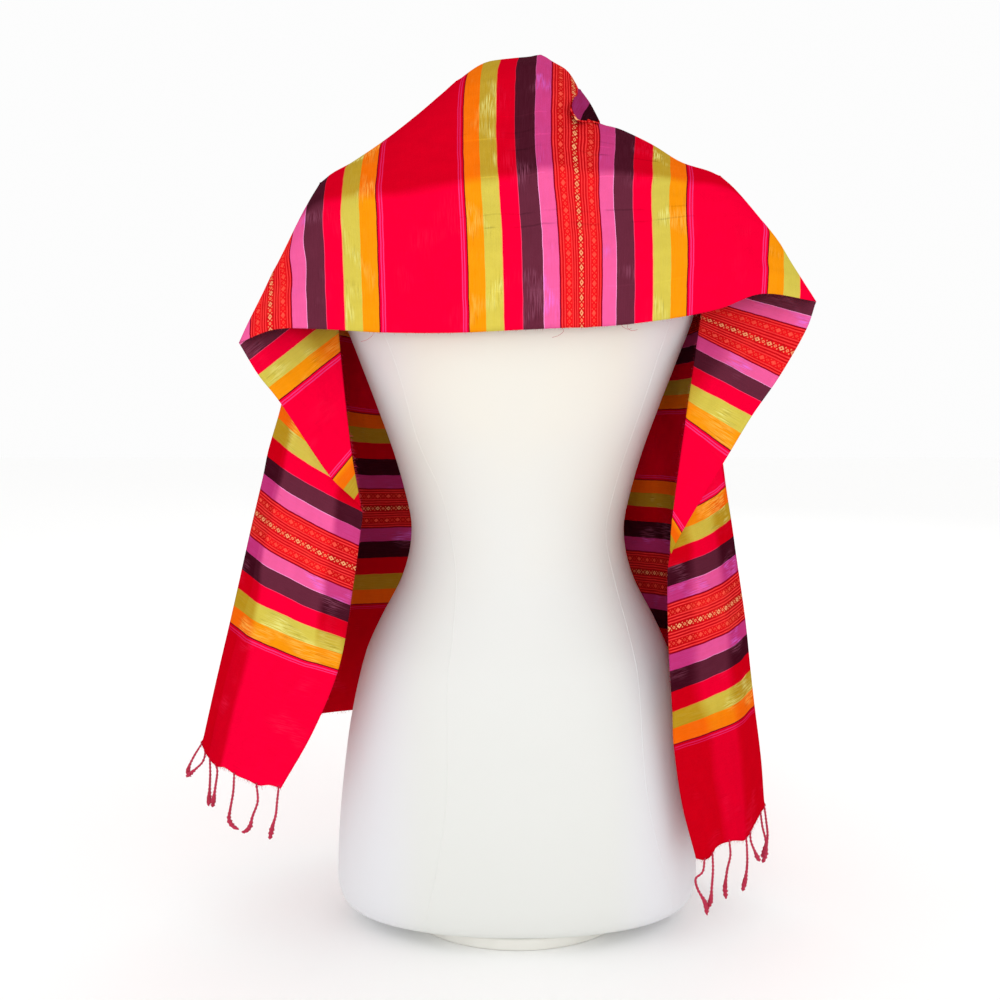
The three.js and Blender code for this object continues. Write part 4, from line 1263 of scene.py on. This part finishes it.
# %% Seams of the cover
BACK_SEAMS = {  # level in millimetres, and degrees round from the middle of the back to each side
    "level": [15.5, 120, 200, 300, 334, 390, 438, 480, 530, 590, 650, 770],
    "left": [28, 22, 21, 24, 26, 31, 37, 40, 47, 46, 47, 49],
    "right": [58, 46, 43, 47, 50, 55, 53, 54, 55.5, 55.5, 54.5, 54],
}
SEAM_WIDTH = 1.5
SEAM_SIDES = 8
seam_bm = bmesh.new()
for facing in (-90, 90):
    for side, hand in (("left", -1), ("right", 1)):
        at = np.linspace(BACK_SEAMS["level"][0], BACK_SEAMS["level"][-1], 150)
        turns = facing - hand * facing / 90 * guide(BACK_SEAMS, side, at, "level")
        sunk = -SEAM_WIDTH * 0.36
        path = [form_point(level, math.radians(turn), sunk) * MM for level, turn in zip(at, turns)]
        ply_tube(seam_bm, path, [SEAM_WIDTH / 2 * MM] * len(path), SEAM_SIDES)
seams = finish_mesh(seam_bm, "form_seams")
print("seam faces:", len(seams.data.polygons))

# %% [markdown]
# ## Jersey cover and painted board
# Jersey is matt. Its colour is painted warmer and lighter towards the shoulders, as painted light from above,
# and a cooler grey towards the sides. Its knit is too fine to model, so it is a bump. The board is plain
# painted plywood with a softened edge.

# %% Materials of the form and the board
jersey, tree, shader = new_material("form_jersey")
coords = object_place(tree)
split = tree.nodes.new("ShaderNodeSeparateXYZ")
feed(split.inputs[0], coords)
split = signals(tree, split.outputs)
# painted light: the cover is warmer and lighter towards the top
rise = (split["Z"] - 0.05) / 0.6
rise = rise + (noise(coords, 6.0) - 0.5) * 0.5
tint = ramp(rise, [(0.0, linear("#dcddd9")), (0.55, linear("#e0e0dd")), (1.0, linear("#e6e1d6"))], "LINEAR")
beside = soft_step(abs(split["X"]), 0.09, 0.15)
tint = blend(beside * 0.6, tint, linear("#e0e0e8"))
feed(shader.inputs["Base Color"], tint)
shader.inputs["Roughness"].default_value = 0.8
shader.inputs["Sheen Weight"].default_value = 0.15
knit = noise(coords, 1400.0, 2.0, 0.6)
pucker = noise(coords, 70.0, 3.0)
add_bump(shader, knit + pucker, 0.25, 0.0004)
for piece in (form, seams):
    piece.data.materials.append(jersey)
    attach(piece, "root")
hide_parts("form_body")

BOARD_EDGE = 3 * MM
board_low, board_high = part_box("base_board")
board_bm = bmesh.new()
board_ring = bmesh.ops.create_circle(board_bm, cap_ends=True, segments=96, radius=1.0)["verts"]
half = (board_high - board_low) / 2
for vert in board_ring:
    vert.co = Vector((vert.co.x * half.x, vert.co.y * half.y, board_low.z))
raised = bmesh.ops.extrude_face_region(board_bm, geom=list(board_bm.faces))["geom"]
bmesh.ops.translate(
    board_bm, verts=[g for g in raised if isinstance(g, bmesh.types.BMVert)], vec=(0, 0, 2 * half.z)
)
rims = [e for e in board_bm.edges if abs(e.verts[0].co.z - e.verts[1].co.z) < 1e-6]
bmesh.ops.bevel(
    board_bm, geom=rims, offset=BOARD_EDGE, offset_type="OFFSET", segments=4, profile=0.5,
    affect="EDGES", material=-1,
)
board = finish_mesh(board_bm, "painted_board")
paint, tree, shader = new_material("board_paint")
coords = object_place(tree)
brushed = noise(coords, 40.0, 4.0)
feed(shader.inputs["Base Color"], blend(brushed, linear("#dcdad2"), linear("#e9e8e2")))
shader.inputs["Roughness"].default_value = 0.5
add_bump(shader, brushed, 0.15, 0.0005)
board.data.materials.append(paint)
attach(board, "root")
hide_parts("base_board")
print("board:", [round(v * 1000) for v in (board_high - board_low)], "mm")
